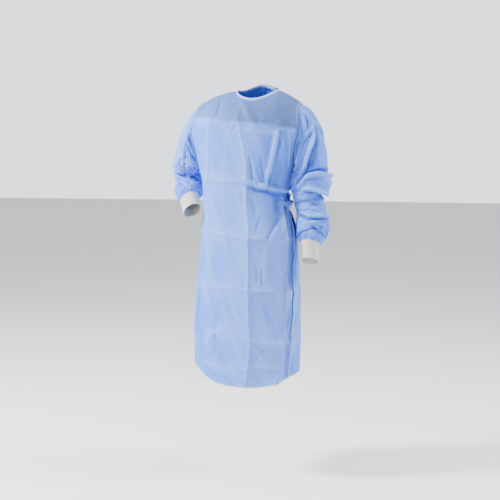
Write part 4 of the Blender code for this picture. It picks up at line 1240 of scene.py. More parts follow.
@dataclass(frozen=True)
class WaistTie:
    """The waist tie at the left side: two sewn ends, a knot and two hanging ends."""

    body: BodyForm
    columns: tuple[str, ...] = ("angle_deg", "drop", "stand_off")
    back_tie: Table = (
        (337.0, 0.420, 0.0092),
        (345.0, 0.424, 0.0094),
        (352.0, 0.428, 0.0105),
        (359.0, 0.438, 0.0135),
    )
    front_tie: Table = (
        (28.0, 0.442, 0.0026),
        (25.5, 0.443, 0.0032),
        (22.5, 0.445, 0.0075),
        (19.0, 0.447, 0.0120),
    )
    front_tail: Table = (
        (14.5, 0.485, 0.0125),
        (17.0, 0.515, 0.0110),
        (18.5, 0.545, 0.0100),
        (19.5, 0.580, 0.0120),
        (20.5, 0.612, 0.0115),
    )
    back_tail: Table = (
        (7.5, 0.485, 0.0135),
        (9.0, 0.515, 0.0130),
        (10.5, 0.550, 0.0135),
        (12.0, 0.585, 0.0150),
        (13.0, 0.638, 0.0140),
    )
    width: float = 0.018
    tail_width: float = 0.018
    thickness: float = 0.0018
    knot_place: Row = (9.5, 0.449, 0.0150)
    knot_half_size: Row = (0.0065, 0.0105, 0.0115)
    seam_gap: float = 0.0003
    tail_shift: float = 0.0052
    width_at_knot: float = 0.009
    knot_lead: float = 0.005
    steps_to_a_point: int = 9
    section_points: int = 16

    def place(self, angle_deg: float, drop: float, off: float) -> np.ndarray:
        """Return a point beside the body."""
        angle = np.array(math.radians(angle_deg))
        return self.body.point(angle, np.array(RIGHT_ANGLE), np.array(drop), off)

    def knot_frame(self) -> tuple[np.ndarray, np.ndarray]:
        """Return the knot's centre and its direction along the body, backward."""
        angle = math.radians(self.knot_place[0])
        return self.place(*self.knot_place), np.array((math.sin(angle), math.cos(angle), 0.0))

    def side_ports(self, side: float) -> list[np.ndarray]:
        """Return two points square to the knot's side, one a lead away and one just off it."""
        centre, backward = self.knot_frame()
        reach = self.knot_half_size[1] + self.seam_gap
        return [centre + backward * side * (reach + self.knot_lead), centre + backward * side * reach]

    def bottom_ports(self, side: float) -> list[np.ndarray]:
        """Return two points square below the knot, one just off it and one a lead away."""
        centre, backward = self.knot_frame()
        down = np.array((0.0, 0.0, -1.0))
        start = centre + backward * side * self.tail_shift + down * (self.knot_half_size[2] + self.seam_gap)
        return [start, start + down * self.knot_lead]

    def strip(
        self, name: str, points: list[np.ndarray], widths: list[float], seed: int, material: bpy.types.Material
    ) -> bpy.types.Object:
        """Sweep a folded cloth tape along a smooth line through points.

        Args:
            name: The piece's name.
            points: The line's points.
            widths: The tape's width at each point.
            seed: Which of the uneven patterns its creases follow.
            material: The piece's material.

        Returns:
            The tape as a closed mesh.
        """
        rough = np.array(points)
        walk = np.concatenate(([0.0], np.cumsum(np.linalg.norm(np.diff(rough, axis=0), axis=1))))
        count = (len(points) - 1) * self.steps_to_a_point
        run = np.linspace(0.0, walk[-1], count + 1)
        line = np.stack([smooth_values(run, walk, rough[:, axis]) for axis in range(3)], axis=-1)
        width = smooth_values(run, walk, np.array(widths))
        out = line - np.array((self.body.sections[0][1], self.body.sections[0][2], 0.0))
        out[:, 2] = 0.0
        tangent = np.gradient(line, axis=0)
        tangent /= np.linalg.norm(tangent, axis=1, keepdims=True)
        across = np.cross(tangent, out)
        across /= np.linalg.norm(across, axis=1, keepdims=True)
        thick = np.cross(across, tangent)
        turns = np.linspace(0.0, FULL_TURN, self.section_points + 1)
        flat = np.sign(np.cos(turns)) * np.abs(np.cos(turns)) ** 0.6
        deep = np.sign(np.sin(turns)) * np.abs(np.sin(turns)) ** 0.6
        ends = smoothstep(0.0, 0.02, run)
        crease = 0.0011 * ripples(run[:, None], flat[None, :] * 0.012, 0.030, seed) * ends[:, None]
        reach = across[:, None, :] * (width[:, None] / 2.0 * flat[None, :])[..., None]
        depth = thick[:, None, :] * (self.thickness / 2.0 * deep[None, :] + crease)[..., None]
        rings = line[:, None, :] + reach + depth
        rings[:, -1] = rings[:, 0]
        half = width[:, None] / 2.0 * (1.0 + flat[None, :])
        lay = np.stack(np.broadcast_arrays(run[:, None], half), axis=-1)
        log.info("%s: %.0f mm of tape", name, walk[-1] * 1000.0)
        piece = tube_piece(f"{name}_tape", rings, lay, material)
        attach(piece, BODY)
        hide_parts(name)
        return piece

    def knot(self, material: bpy.types.Material) -> bpy.types.Object:
        """Make the knot: a tight core with two turns of tape drawn over it."""
        centre, backward = self.knot_frame()
        out = np.cross(backward, np.array((0.0, 0.0, 1.0)))
        builder = bmesh.new()
        bmesh.ops.create_uvsphere(builder, u_segments=48, v_segments=32, radius=1.0)
        thick, along, tall = self.knot_half_size
        for vert in builder.verts:
            x, y, z = vert.co
            x, y, z = (math.copysign(abs(value) ** 0.72, value) for value in (x, y, z))
            slant = y + z * 0.55
            groove = 0.82 + 0.18 * math.tanh(abs(slant) * 7.0 - 1.2)
            band = 1.0 + 0.10 * math.exp(-((slant / 0.30) ** 2)) * (1.0 if x > -0.6 else 0.0)
            fine = 1.0 + 0.035 * math.sin(slant * 19.0) * (1.0 - abs(x) * 0.3)
            scale = groove * band * fine / 1.06
            spot = out * x * thick * scale + backward * y * along * scale
            vert.co = Vector(centre + spot + np.array((0.0, 0.0, 1.0)) * z * tall * scale)
        bmesh.ops.recalc_face_normals(builder, faces=builder.faces[:])
        piece = finished_piece("tie_knot_wrap", builder, material)
        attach(piece, BODY)
        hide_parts("tie_knot")
        return piece

    def build(self, material: bpy.types.Material) -> dict[str, bpy.types.Object]:
        """Make the two ties, the knot and the two hanging ends."""
        pieces = {"tie_knot": self.knot(material)}
        for seed, (name, table, side) in enumerate((("tie_back", self.back_tie, 1.0), ("tie_front", self.front_tie, -1.0))):
            points = [self.place(*row) for row in table] + self.side_ports(side)
            widths = [self.width] * len(table) + [self.width * 0.8, self.width * 0.62]
            pieces[name] = self.strip(name, points, widths, 41 + seed, material)
        tails = (("tie_tail_front", self.front_tail, -1.0), ("tie_tail_back", self.back_tail, 1.0))
        for seed, (name, table, side) in enumerate(tails):
            points = self.bottom_ports(side) + [self.place(*row) for row in table]
            widths = [self.width_at_knot] * 2 + [self.tail_width] * len(table)
            pieces[name] = self.strip(name, points, widths, 51 + seed, material)
        return pieces


def link(tree: bpy.types.NodeTree, source: bpy.types.NodeSocket, target: bpy.types.NodeSocket) -> None:
    """Join two sockets."""
    tree.links.new(source, target)


def math_node(tree: bpy.types.NodeTree, operation: str, *values: bpy.types.NodeSocket | float) -> bpy.types.NodeSocket:
    """Add a maths node.

    Args:
        tree: Where the node goes.
        operation: What it works out.
        values: Its inputs, as sockets or numbers.

    Returns:
        The node's result.
    """
    node = tree.nodes.new("ShaderNodeMath")
    node.operation = operation
    for socket, value in zip(node.inputs, values):
        if isinstance(value, (int, float)):
            socket.default_value = value
        else:
            link(tree, value, socket)
    return node.outputs[0]


def mixed_colour(
    tree: bpy.types.NodeTree,
    share: bpy.types.NodeSocket | float,
    first: bpy.types.NodeSocket | Row,
    second: bpy.types.NodeSocket | Row,
) -> bpy.types.NodeSocket:
    """Add a node that mixes two colours.

    Args:
        tree: Where the node goes.
        share: How much of the second colour shows.
        first: The first colour.
        second: The second colour.

    Returns:
        The mixed colour.
    """
    node = tree.nodes.new("ShaderNodeMix")
    node.data_type = "RGBA"
    for socket, value in ((node.inputs[0], share), (node.inputs[6], first), (node.inputs[7], second)):
        if isinstance(value, bpy.types.NodeSocket):
            link(tree, value, socket)
        else:
            socket.default_value = value
    return node.outputs[2]


def ranged(
    tree: bpy.types.NodeTree, value: bpy.types.NodeSocket, low: float, high: float, to_low: float, to_high: float
) -> bpy.types.NodeSocket:
    """Add a node that maps one range of values smoothly to another."""
    node = tree.nodes.new("ShaderNodeMapRange")
    node.interpolation_type = "SMOOTHSTEP"
    node.inputs["From Min"].default_value = low
    node.inputs["From Max"].default_value = high
    node.inputs["To Min"].default_value = to_low
    node.inputs["To Max"].default_value = to_high
    link(tree, value, node.inputs["Value"])
    return node.outputs["Result"]


def new_group(name: str, inputs: dict[str, float], outputs: Sequence[str]) -> tuple[bpy.types.NodeTree, bpy.types.Node, bpy.types.Node]:
    """Make an empty shader node group.

    Args:
        name: The group's name.
        inputs: Its number inputs with their first values, after a vector named Place.
        outputs: The names of its value outputs.

    Returns:
        The group, its input node and its output node.
    """
    group = bpy.data.node_groups.new(name, "ShaderNodeTree")
    group.interface.new_socket(name="Place", in_out="INPUT", socket_type="NodeSocketVector")
    for socket_name, value in inputs.items():
        socket = group.interface.new_socket(name=socket_name, in_out="INPUT", socket_type="NodeSocketFloat")
        socket.default_value = value
    for socket_name in outputs:
        group.interface.new_socket(name=socket_name, in_out="OUTPUT", socket_type="NodeSocketFloat")
    return group, group.nodes.new("NodeGroupInput"), group.nodes.new("NodeGroupOutput")


def noise(
    tree: bpy.types.NodeTree, place: bpy.types.NodeSocket, scale: float, detail: float, roughness: float = 0.5
) -> bpy.types.NodeSocket:
    """Add a noise node and return its value."""
    node = tree.nodes.new("ShaderNodeTexNoise")
    node.inputs["Scale"].default_value = scale
    node.inputs["Detail"].default_value = detail
    node.inputs["Roughness"].default_value = roughness
    link(tree, place, node.inputs["Vector"])
    return node.outputs["Fac"]


def scaled_place(tree: bpy.types.NodeTree, place: bpy.types.NodeSocket, scale: Row, turn: float = 0.0) -> bpy.types.NodeSocket:
    """Add a Mapping node that stretches and turns a place."""
    node = tree.nodes.new("ShaderNodeMapping")
    node.inputs["Scale"].default_value = scale
    node.inputs["Rotation"].default_value = (0.0, 0.0, turn)
    link(tree, place, node.inputs["Vector"])
    return node.outputs["Vector"]


def fibre_group() -> bpy.types.NodeTree:
    """Make the group that gives the nonwoven's fibres, bond points and cloudy tone."""
    group, source, result = new_group(
        "nonwoven_grain", {"Bond Pitch": 0.0016, "Fibre Length": 0.004}, ("Height", "Cloud", "Fibre")
    )
    place = source.outputs["Place"]
    turned = scaled_place(group, place, (1.0, 1.0, 1.0), math.radians(45.0))
    parts = group.nodes.new("ShaderNodeSeparateXYZ")
    link(group, turned, parts.inputs[0])
    per_metre = math_node(group, "DIVIDE", FULL_TURN, source.outputs["Bond Pitch"])
    waves = [
        math_node(group, "COSINE", math_node(group, "MULTIPLY", parts.outputs[axis], per_metre)) for axis in (0, 1)
    ]
    dots = ranged(group, math_node(group, "MULTIPLY", *waves), 0.35, 0.9, 0.0, 1.0)
    long_fibres = noise(group, scaled_place(group, place, (90.0, 420.0, 1.0), 0.2), 1.0, 5.0, 0.65)
    cross_fibres = noise(group, scaled_place(group, place, (380.0, 80.0, 1.0), -0.3), 1.0, 5.0, 0.65)
    fibres = math_node(group, "MAXIMUM", long_fibres, cross_fibres)
    height = math_node(group, "SUBTRACT", fibres, math_node(group, "MULTIPLY", dots, 0.55))
    cloud = noise(group, scaled_place(group, place, (1.0, 1.0, 1.0)), 34.0, 4.0, 0.6)
    link(group, height, result.inputs["Height"])
    link(group, cloud, result.inputs["Cloud"])
    link(group, fibres, result.inputs["Fibre"])
    return group


def crumple_group() -> bpy.types.NodeTree:
    """Make the group that gives the soft papery crumples of handled nonwoven."""
    group, source, result = new_group("soft_crumple", {"Fineness": 1.0}, ("Height",))
    place = source.outputs["Place"]
    total = None
    for scale, turn, weight in ((17.0, 0.3, 1.0), (38.0, 1.1, 0.55), (85.0, 2.0, 0.25)):
        stretched = scaled_place(group, place, (1.0, 0.45, 1.0), turn)
        value = noise(group, stretched, scale, 2.0, 0.5)
        ridge = math_node(group, "ABSOLUTE", math_node(group, "SUBTRACT", value, 0.5))
        layer = math_node(group, "MULTIPLY", math_node(group, "MULTIPLY", ridge, weight), source.outputs["Fineness"])
        total = layer if total is None else math_node(group, "ADD", total, layer)
    link(group, total, result.inputs["Height"])
    return group


def stitch_group() -> bpy.types.NodeTree:
    """Make the group that marks a row of stitches beside an edge."""
    group, source, result = new_group(
        "stitch_row", {"Edge Gap": 0.0045, "Length": 0.0030, "Width": 0.0006}, ("Stitch",)
    )
    parts = group.nodes.new("ShaderNodeSeparateXYZ")
    link(group, source.outputs["Place"], parts.inputs[0])
    offset = math_node(group, "ABSOLUTE", math_node(group, "SUBTRACT", parts.outputs[1], source.outputs["Edge Gap"]))
    across = math_node(group, "DIVIDE", offset, source.outputs["Width"])
    turn = math_node(group, "MULTIPLY", math_node(group, "DIVIDE", parts.outputs[0], source.outputs["Length"]), FULL_TURN)
    along = ranged(group, math_node(group, "COSINE", turn), -0.75, -0.2, 0.0, 1.0)
    line = ranged(group, across, 0.4, 1.0, 1.0, 0.0)
    link(group, math_node(group, "MULTIPLY", line, along), result.inputs["Stitch"])
    return group


def grouped(
    tree: bpy.types.NodeTree, group: bpy.types.NodeTree, place: bpy.types.NodeSocket, **values: float
) -> bpy.types.Node:
    """Place a node group in a material.

    Args:
        tree: The material's nodes.
        group: The group.
        place: What feeds its Place.
        values: Its other inputs, with underscores for the spaces in their names.

    Returns:
        The group's node.
    """
    node = tree.nodes.new("ShaderNodeGroup")
    node.node_tree = group
    link(tree, place, node.inputs["Place"])
    for name, value in values.items():
        node.inputs[name.replace("_", " ")].default_value = value
    return node


def uv_place(tree: bpy.types.NodeTree, name: str) -> bpy.types.NodeSocket:
    """Return one of the piece's own UV maps, in metres."""
    node = tree.nodes.new("ShaderNodeUVMap")
    node.uv_map = name
    return node.outputs["UV"]


def attribute_value(tree: bpy.types.NodeTree, name: str) -> bpy.types.NodeSocket:
    """Return one of the piece's own attributes."""
    node = tree.nodes.new("ShaderNodeAttribute")
    node.attribute_name = name
    return node.outputs["Fac"]


def bumped(
    tree: bpy.types.NodeTree,
    height: bpy.types.NodeSocket,
    distance: float,
    strength: float,
    normal: bpy.types.NodeSocket | None = None,
) -> bpy.types.NodeSocket:
    """Add a Bump node and return its normal."""
    node = tree.nodes.new("ShaderNodeBump")
    node.inputs["Distance"].default_value = distance
    node.inputs["Strength"].default_value = strength
    link(tree, height, node.inputs["Height"])
    if normal is not None:
        link(tree, normal, node.inputs["Normal"])
    return node.outputs["Normal"]


@dataclass(frozen=True)
class Grains:
    """The node groups that the finishes share."""

    fibre: bpy.types.NodeTree
    crumple: bpy.types.NodeTree
    stitch: bpy.types.NodeTree


@dataclass(frozen=True)
class NonwovenFinish:
    """Light blue nonwoven: soft fibres, bond points, crumples and stitched edges, with painted shade in its troughs, a
    painted highlight on its ridges and a painted highlight along its edges.
    """

    name: str = "nonwoven_cloth"
    colour: Row = (0.080, 0.236, 0.900, 1.0)
    trough_shade_colour: Row = (0.026, 0.105, 0.580, 1.0)
    pale_colour: Row = (0.300, 0.490, 0.960, 1.0)
    edge_highlight_colour: Row = (0.440, 0.640, 0.980, 1.0)
    chest_colour: Row = (0.040, 0.108, 0.340, 1.0)
    thread_colour: Row = (0.560, 0.700, 0.930, 1.0)
    roughness: float = 0.62
    sheen: float = 0.06
    crumple_height: float = 0.0055
    grain_height: float = 0.00035
    trough_shade: float = 0.30
    with_panel_marks: bool = True

    def material(self, grains: Grains) -> bpy.types.Material:
        """Return the finished material."""
        material = bpy.data.materials.new(self.name)
        material.use_nodes = True
        tree = material.node_tree
        shader = tree.nodes["Principled BSDF"]
        place = uv_place(tree, "lay")
        grain = grouped(tree, grains.fibre, place)
        crumple = grouped(tree, grains.crumple, place, Fineness=1.0)
        shade = attribute_value(tree, "shade")
        # Painted shade: the cloth turns a deeper blue in its troughs, as far as the shade attribute falls below 0.
        lower = ranged(tree, shade, -1.0, 0.0, self.trough_shade, 0.0)
        # Painted highlight: the cloth turns paler on its ridges.
        upper = ranged(tree, shade, 0.0, 1.0, 0.0, 0.35)
        colour = mixed_colour(tree, lower, self.colour, self.trough_shade_colour)
        colour = mixed_colour(tree, upper, colour, self.pale_colour)
        if self.with_panel_marks:
            tone = attribute_value(tree, "tone")
            colour = mixed_colour(tree, tone, colour, self.chest_colour)
        cloud = ranged(tree, grain.outputs["Cloud"], 0.30, 0.70, 0.0, 0.07)
        colour = mixed_colour(tree, cloud, colour, self.pale_colour)
        fibre = ranged(tree, grain.outputs["Fibre"], 0.45, 0.80, 0.0, 0.08)
        colour = mixed_colour(tree, fibre, colour, self.pale_colour)
        edge = uv_place(tree, "stitch")
        stitch = grouped(tree, grains.stitch, edge)
        colour = mixed_colour(tree, stitch.outputs["Stitch"], colour, self.thread_colour)
        parts = tree.nodes.new("ShaderNodeSeparateXYZ")
        link(tree, edge, parts.inputs[0])
        # Painted highlight: the cloth is paler within 6 mm of every edge and seam.
        rim = ranged(tree, parts.outputs[1], 0.0, 0.006, 0.50, 0.0)
        colour = mixed_colour(tree, rim, colour, self.edge_highlight_colour)
        link(tree, colour, shader.inputs["Base Color"])
        rough = ranged(tree, grain.outputs["Cloud"], 0.3, 0.7, self.roughness - 0.05, self.roughness + 0.06)
        link(tree, rough, shader.inputs["Roughness"])
        shader.inputs["Sheen Weight"].default_value = self.sheen
        shader.inputs["Sheen Roughness"].default_value = 0.45
        normal = bumped(tree, crumple.outputs["Height"], self.crumple_height, 0.8)
        normal = bumped(tree, grain.outputs["Height"], self.grain_height, 0.7, normal)
        normal = bumped(tree, stitch.outputs["Stitch"], 0.0008, 0.8, normal)
        link(tree, normal, shader.inputs["Normal"])
        return material


@dataclass(frozen=True)
class BandFinish:
    """The paler binding cloth and the tie cloth, whose deeper blue is painted shade, folded and stitched."""

    name: str
    colour: Row
    pale_colour: Row
    stitch_gap: float
    roughness: float = 0.6
    sheen: float = 0.25

    def material(self, grains: Grains) -> bpy.types.Material:
        """Return the finished material."""
        material = bpy.data.materials.new(self.name)
        material.use_nodes = True
        tree = material.node_tree
        shader = tree.nodes["Principled BSDF"]
        place = uv_place(tree, "lay")
        grain = grouped(tree, grains.fibre, place)
        stitch = grouped(tree, grains.stitch, place, Edge_Gap=self.stitch_gap, Length=0.0028, Width=0.0005)
        fibre = ranged(tree, grain.outputs["Fibre"], 0.45, 0.80, 0.0, 0.35)
        colour = mixed_colour(tree, fibre, self.colour, self.pale_colour)
        colour = mixed_colour(tree, stitch.outputs["Stitch"], colour, self.pale_colour)
        link(tree, colour, shader.inputs["Base Color"])
        rough = ranged(tree, grain.outputs["Cloud"], 0.3, 0.7, self.roughness - 0.05, self.roughness + 0.06)
        link(tree, rough, shader.inputs["Roughness"])
        shader.inputs["Sheen Weight"].default_value = self.sheen
        normal = bumped(tree, grain.outputs["Height"], 0.0005, 0.7)
        normal = bumped(tree, stitch.outputs["Stitch"], 0.0006, 0.8, normal)
        link(tree, normal, shader.inputs["Normal"])
        return material


@dataclass(frozen=True)
class KnitFinish:
    """Cream rib knit with rows of small loops, and painted shade between its ribs."""

    name: str = "cuff_knit"
    colour: Row = (0.94, 0.92, 0.85, 1.0)
    groove_shade_and_loop_colour: Row = (0.60, 0.57, 0.50, 1.0)
    loop_pitch: float = 0.0017
    band_pitch: float = 0.0085
    roughness: float = 0.88

    def material(self, grains: Grains) -> bpy.types.Material:
        """Return the finished material."""
        material = bpy.data.materials.new(self.name)
        material.use_nodes = True
        tree = material.node_tree
        shader = tree.nodes["Principled BSDF"]
        place = uv_place(tree, "lay")
        parts = tree.nodes.new("ShaderNodeSeparateXYZ")
        link(tree, place, parts.inputs[0])
        rib = attribute_value(tree, "shade")
        slant = math_node(tree, "MULTIPLY", math_node(tree, "ABSOLUTE", rib), 0.9)
        rise = math_node(tree, "MULTIPLY", math_node(tree, "DIVIDE", parts.outputs[1], self.loop_pitch), FULL_TURN)
        loops = math_node(tree, "COSINE", math_node(tree, "ADD", rise, slant))
        # Painted shade: the knit is darker between its ribs.
        groove = ranged(tree, rib, -1.0, 0.2, 1.0, 0.0)
        colour = mixed_colour(tree, math_node(tree, "MULTIPLY", groove, 0.75), self.colour, self.groove_shade_and_loop_colour)
        dark_loops = ranged(tree, loops, -1.0, 0.4, 0.30, 0.0)
        colour = mixed_colour(tree, dark_loops, colour, self.groove_shade_and_loop_colour)
        fuzz = noise(tree, place, 900.0, 3.0, 0.6)
        colour = mixed_colour(tree, ranged(tree, fuzz, 0.35, 0.7, 0.18, 0.0), colour, self.groove_shade_and_loop_colour)
        turn = math_node(tree, "MULTIPLY", math_node(tree, "DIVIDE", parts.outputs[1], self.band_pitch), FULL_TURN)
        drift = math_node(tree, "MULTIPLY", noise(tree, place, 60.0, 2.0), 9.0)
        bands = math_node(tree, "COSINE", math_node(tree, "ADD", turn, drift))
        colour = mixed_colour(tree, ranged(tree, bands, -1.0, 0.2, 0.35, 0.0), colour, self.groove_shade_and_loop_colour)
        link(tree, colour, shader.inputs["Base Color"])
        rough = ranged(tree, fuzz, 0.3, 0.7, self.roughness - 0.05, self.roughness + 0.05)
        link(tree, rough, shader.inputs["Roughness"])
        shader.inputs["Sheen Weight"].default_value = 0.4
        height = math_node(tree, "ADD", math_node(tree, "MULTIPLY", loops, 0.6), fuzz)
        link(tree, bumped(tree, height, 0.0005, 0.8), shader.inputs["Normal"])
        return material


@dataclass(frozen=True)
class Studio:
    """The pale floor, the soft light and the camera."""

    eye_turn_deg: float = 18.0
    eye_distance: float = 4.5
    eye_height: float = -0.28
    aim_height: float = -0.64
    lens_mm: float = 80.0
    sensor_mm: float = 36.0
    floor_height: float = -1.55
    floor_size: float = 60.0

    def camera(self) -> None:
        """Place the camera at the photograph's viewing angle."""
        turn = math.radians(self.eye_turn_deg)
        eye = Vector((self.eye_distance * math.sin(turn), -self.eye_distance * math.cos(turn), self.eye_height))
        aim = Vector((0.0, 0.0, self.aim_height))
        data = bpy.data.cameras.new("studio_camera")
        data.lens = self.lens_mm
        data.sensor_width = self.sensor_mm
        camera = bpy.data.objects.new("studio_camera", data)
        camera.location = eye
        camera.rotation_euler = (aim - eye).to_track_quat("-Z", "Y").to_euler()
        bpy.context.collection.objects.link(camera)
        bpy.context.scene.camera = camera

    def floor(self) -> None:
        """Lay the plain pale floor."""
        builder = bmesh.new()
        bmesh.ops.create_grid(builder, x_segments=1, y_segments=1, size=self.floor_size / 2.0)
        bmesh.ops.translate(builder, vec=(0.0, 0.0, self.floor_height), verts=builder.verts[:])
        material = bpy.data.materials.new("pale_floor")
        material.use_nodes = True
        shader = material.node_tree.nodes["Principled BSDF"]
        shader.inputs["Base Color"].default_value = (0.86, 0.87, 0.88, 1.0)
        shader.inputs["Roughness"].default_value = 0.9
        shader.inputs["Emission Color"].default_value = (0.93, 0.95, 1.0, 1.0)
        shader.inputs["Emission Strength"].default_value = 0.55
        finished_piece("studio_floor", builder, material)

    def lamp(self, name: str, place: Row, aim: Row, size: float, power: float, colour: Row) -> None:
        """Hang one soft square lamp."""
        data = bpy.data.lights.new(name, "AREA")
        data.shape = "SQUARE"
        data.size = size
        data.energy = power
        data.color = colour
        item = bpy.data.objects.new(name, data)
        item.location = place
        item.rotation_euler = (Vector(aim) - Vector(place)).to_track_quat("-Z", "Y").to_euler()
        bpy.context.collection.objects.link(item)

    def light(self) -> None:
        """Light the scene: a soft key from the front, a fill and a pale sky."""
        world = bpy.data.worlds.new("pale_sky")
        bpy.context.scene.world = world
        world.use_nodes = True
        tree = world.node_tree
        background = tree.nodes["Background"]
        background.inputs["Color"].default_value = (0.93, 0.96, 1.0, 1.0)
        seen = tree.nodes.new("ShaderNodeLightPath").outputs["Is Camera Ray"]
        strength = math_node(tree, "MULTIPLY_ADD", seen, 1.7, 0.45)
        link(tree, strength, background.inputs["Strength"])
        chest = (0.0, 0.0, -0.55)
        self.lamp("key_lamp", (-3.0, -1.7, 1.9), chest, 0.7, 480.0, (1.0, 0.99, 0.98))
        self.lamp("sky_lamp", (0.0, -0.6, 4.2), chest, 5.0, 190.0, (0.96, 0.98, 1.0))
        self.lamp("rim_lamp", (2.7, 0.5, 1.6), (0.0, 0.0, -0.3), 1.0, 140.0, (1.0, 1.0, 1.0))

    def build(self) -> None:
        """Make the camera, the floor and the lights."""
        self.camera()
        self.floor()
        self.light()


LEFT_SLEEVE_FORM = SleeveForm(
    stations=(
        (0.217, 0.012, -0.050, 0.183, 0.000, -0.300, 0.064),
        (0.252, 0.014, -0.078, 0.190, 0.001, -0.304, 0.068),
        (0.279, 0.016, -0.118, 0.191, 0.001, -0.308, 0.071),
        (0.299, 0.018, -0.165, 0.190, 0.000, -0.313, 0.072),
        (0.309, 0.020, -0.215, 0.187, -0.001, -0.320, 0.072),
        (0.313, 0.022, -0.262, 0.183, -0.003, -0.331, 0.071),
        (0.317, 0.022, -0.300, 0.178, -0.005, -0.347, 0.070),
        (0.328, 0.020, -0.324, 0.175, -0.007, -0.367, 0.072),
        (0.332, 0.018, -0.362, 0.174, -0.008, -0.389, 0.073),
        (0.328, 0.015, -0.396, 0.179, -0.008, -0.411, 0.071),
        (0.307, 0.012, -0.420, 0.184, -0.006, -0.432, 0.063),
        (0.311, 0.006, -0.457, 0.190, -0.004, -0.463, 0.062),
        (0.317, 0.001, -0.482, 0.197, -0.003, -0.486, 0.062),
        (0.333, -0.006, -0.502, 0.199, -0.008, -0.510, 0.064),
        (0.336, -0.014, -0.532, 0.200, -0.015, -0.540, 0.064),
        (0.331, -0.023, -0.564, 0.203, -0.023, -0.569, 0.059),
        (0.315, -0.031, -0.588, 0.215, -0.031, -0.590, 0.048),
        (0.300, -0.038, -0.603, 0.224, -0.038, -0.603, 0.036),
    ),
    folds=(
        (0.26, 40.0, 0.040, 60.0, -0.006, 0.30),
        (0.36, 80.0, 0.040, 75.0, 0.005, 0.20),
        (0.60, 60.0, 0.035, 90.0, -0.005, 0.12),
        (0.52, 290.0, 0.040, 70.0, -0.006, -0.20),
        (0.30, 250.0, 0.045, 60.0, -0.005, -0.25),
        (0.74, 250.0, 0.035, 80.0, -0.004, 0.12),
    ),
    crowding=1.0,
)
RIGHT_SLEEVE_FORM = SleeveForm(
    stations=(
        (-0.227, 0.012, -0.060, -0.207, 0.000, -0.300, 0.062),
        (-0.251, 0.016, -0.088, -0.219, 0.001, -0.306, 0.063),
        (-0.270, 0.031, -0.128, -0.230, 0.003, -0.313, 0.064),
        (-0.287, 0.058, -0.178, -0.240, 0.008, -0.319, 0.064),
        (-0.304, 0.095, -0.230, -0.249, 0.018, -0.324, 0.065),
        (-0.321, 0.131, -0.280, -0.257, 0.031, -0.328, 0.066),
        (-0.332, 0.155, -0.326, -0.262, 0.041, -0.334, 0.066),
        (-0.328, 0.155, -0.368, -0.260, 0.038, -0.344, 0.066),
        (-0.313, 0.126, -0.402, -0.253, 0.021, -0.356, 0.064),
        (-0.297, 0.078, -0.419, -0.247, -0.014, -0.368, 0.061),
        (-0.289, 0.039, -0.434, -0.245, -0.044, -0.378, 0.057),
        (-0.277, 0.009, -0.449, -0.241, -0.062, -0.389, 0.050),
        (-0.258, -0.009, -0.460, -0.237, -0.065, -0.404, 0.041),
    ),
    folds=(
        (0.30, 110.0, 0.045, 60.0, -0.006, -0.30),
        (0.50, 140.0, 0.040, 55.0, -0.006, -0.22),
        (0.62, 110.0, 0.040, 70.0, -0.006, -0.18),
        (0.74, 80.0, 0.040, 80.0, -0.005, -0.12),
        (0.45, 240.0, 0.045, 60.0, -0.006, 0.18),
        (0.68, 250.0, 0.045, 70.0, -0.005, 0.10),
    ),
    crowding=0.8,
)


def packed_crease(path: Table, side: Side = Side.FRONT, height: float = 0.0040, reach: float = 0.030) -> tuple[Fold, ...]:
    """Return a crease left by packing: a broad bend with one crisp line along it.

    Args:
        path: Its line as (around, height, strength) at each point.
        side: The line that its places are measured from.
        height: How far the bend stands out.
        reach: How far the bend spreads to each side.

    Returns:
        The bend and its crisp line.
    """
    bend = Fold(path, height, reach, Profile.SHARP, side)
    return bend, Fold(path, 0.45 * height, 0.0045, Profile.SHARP, side)


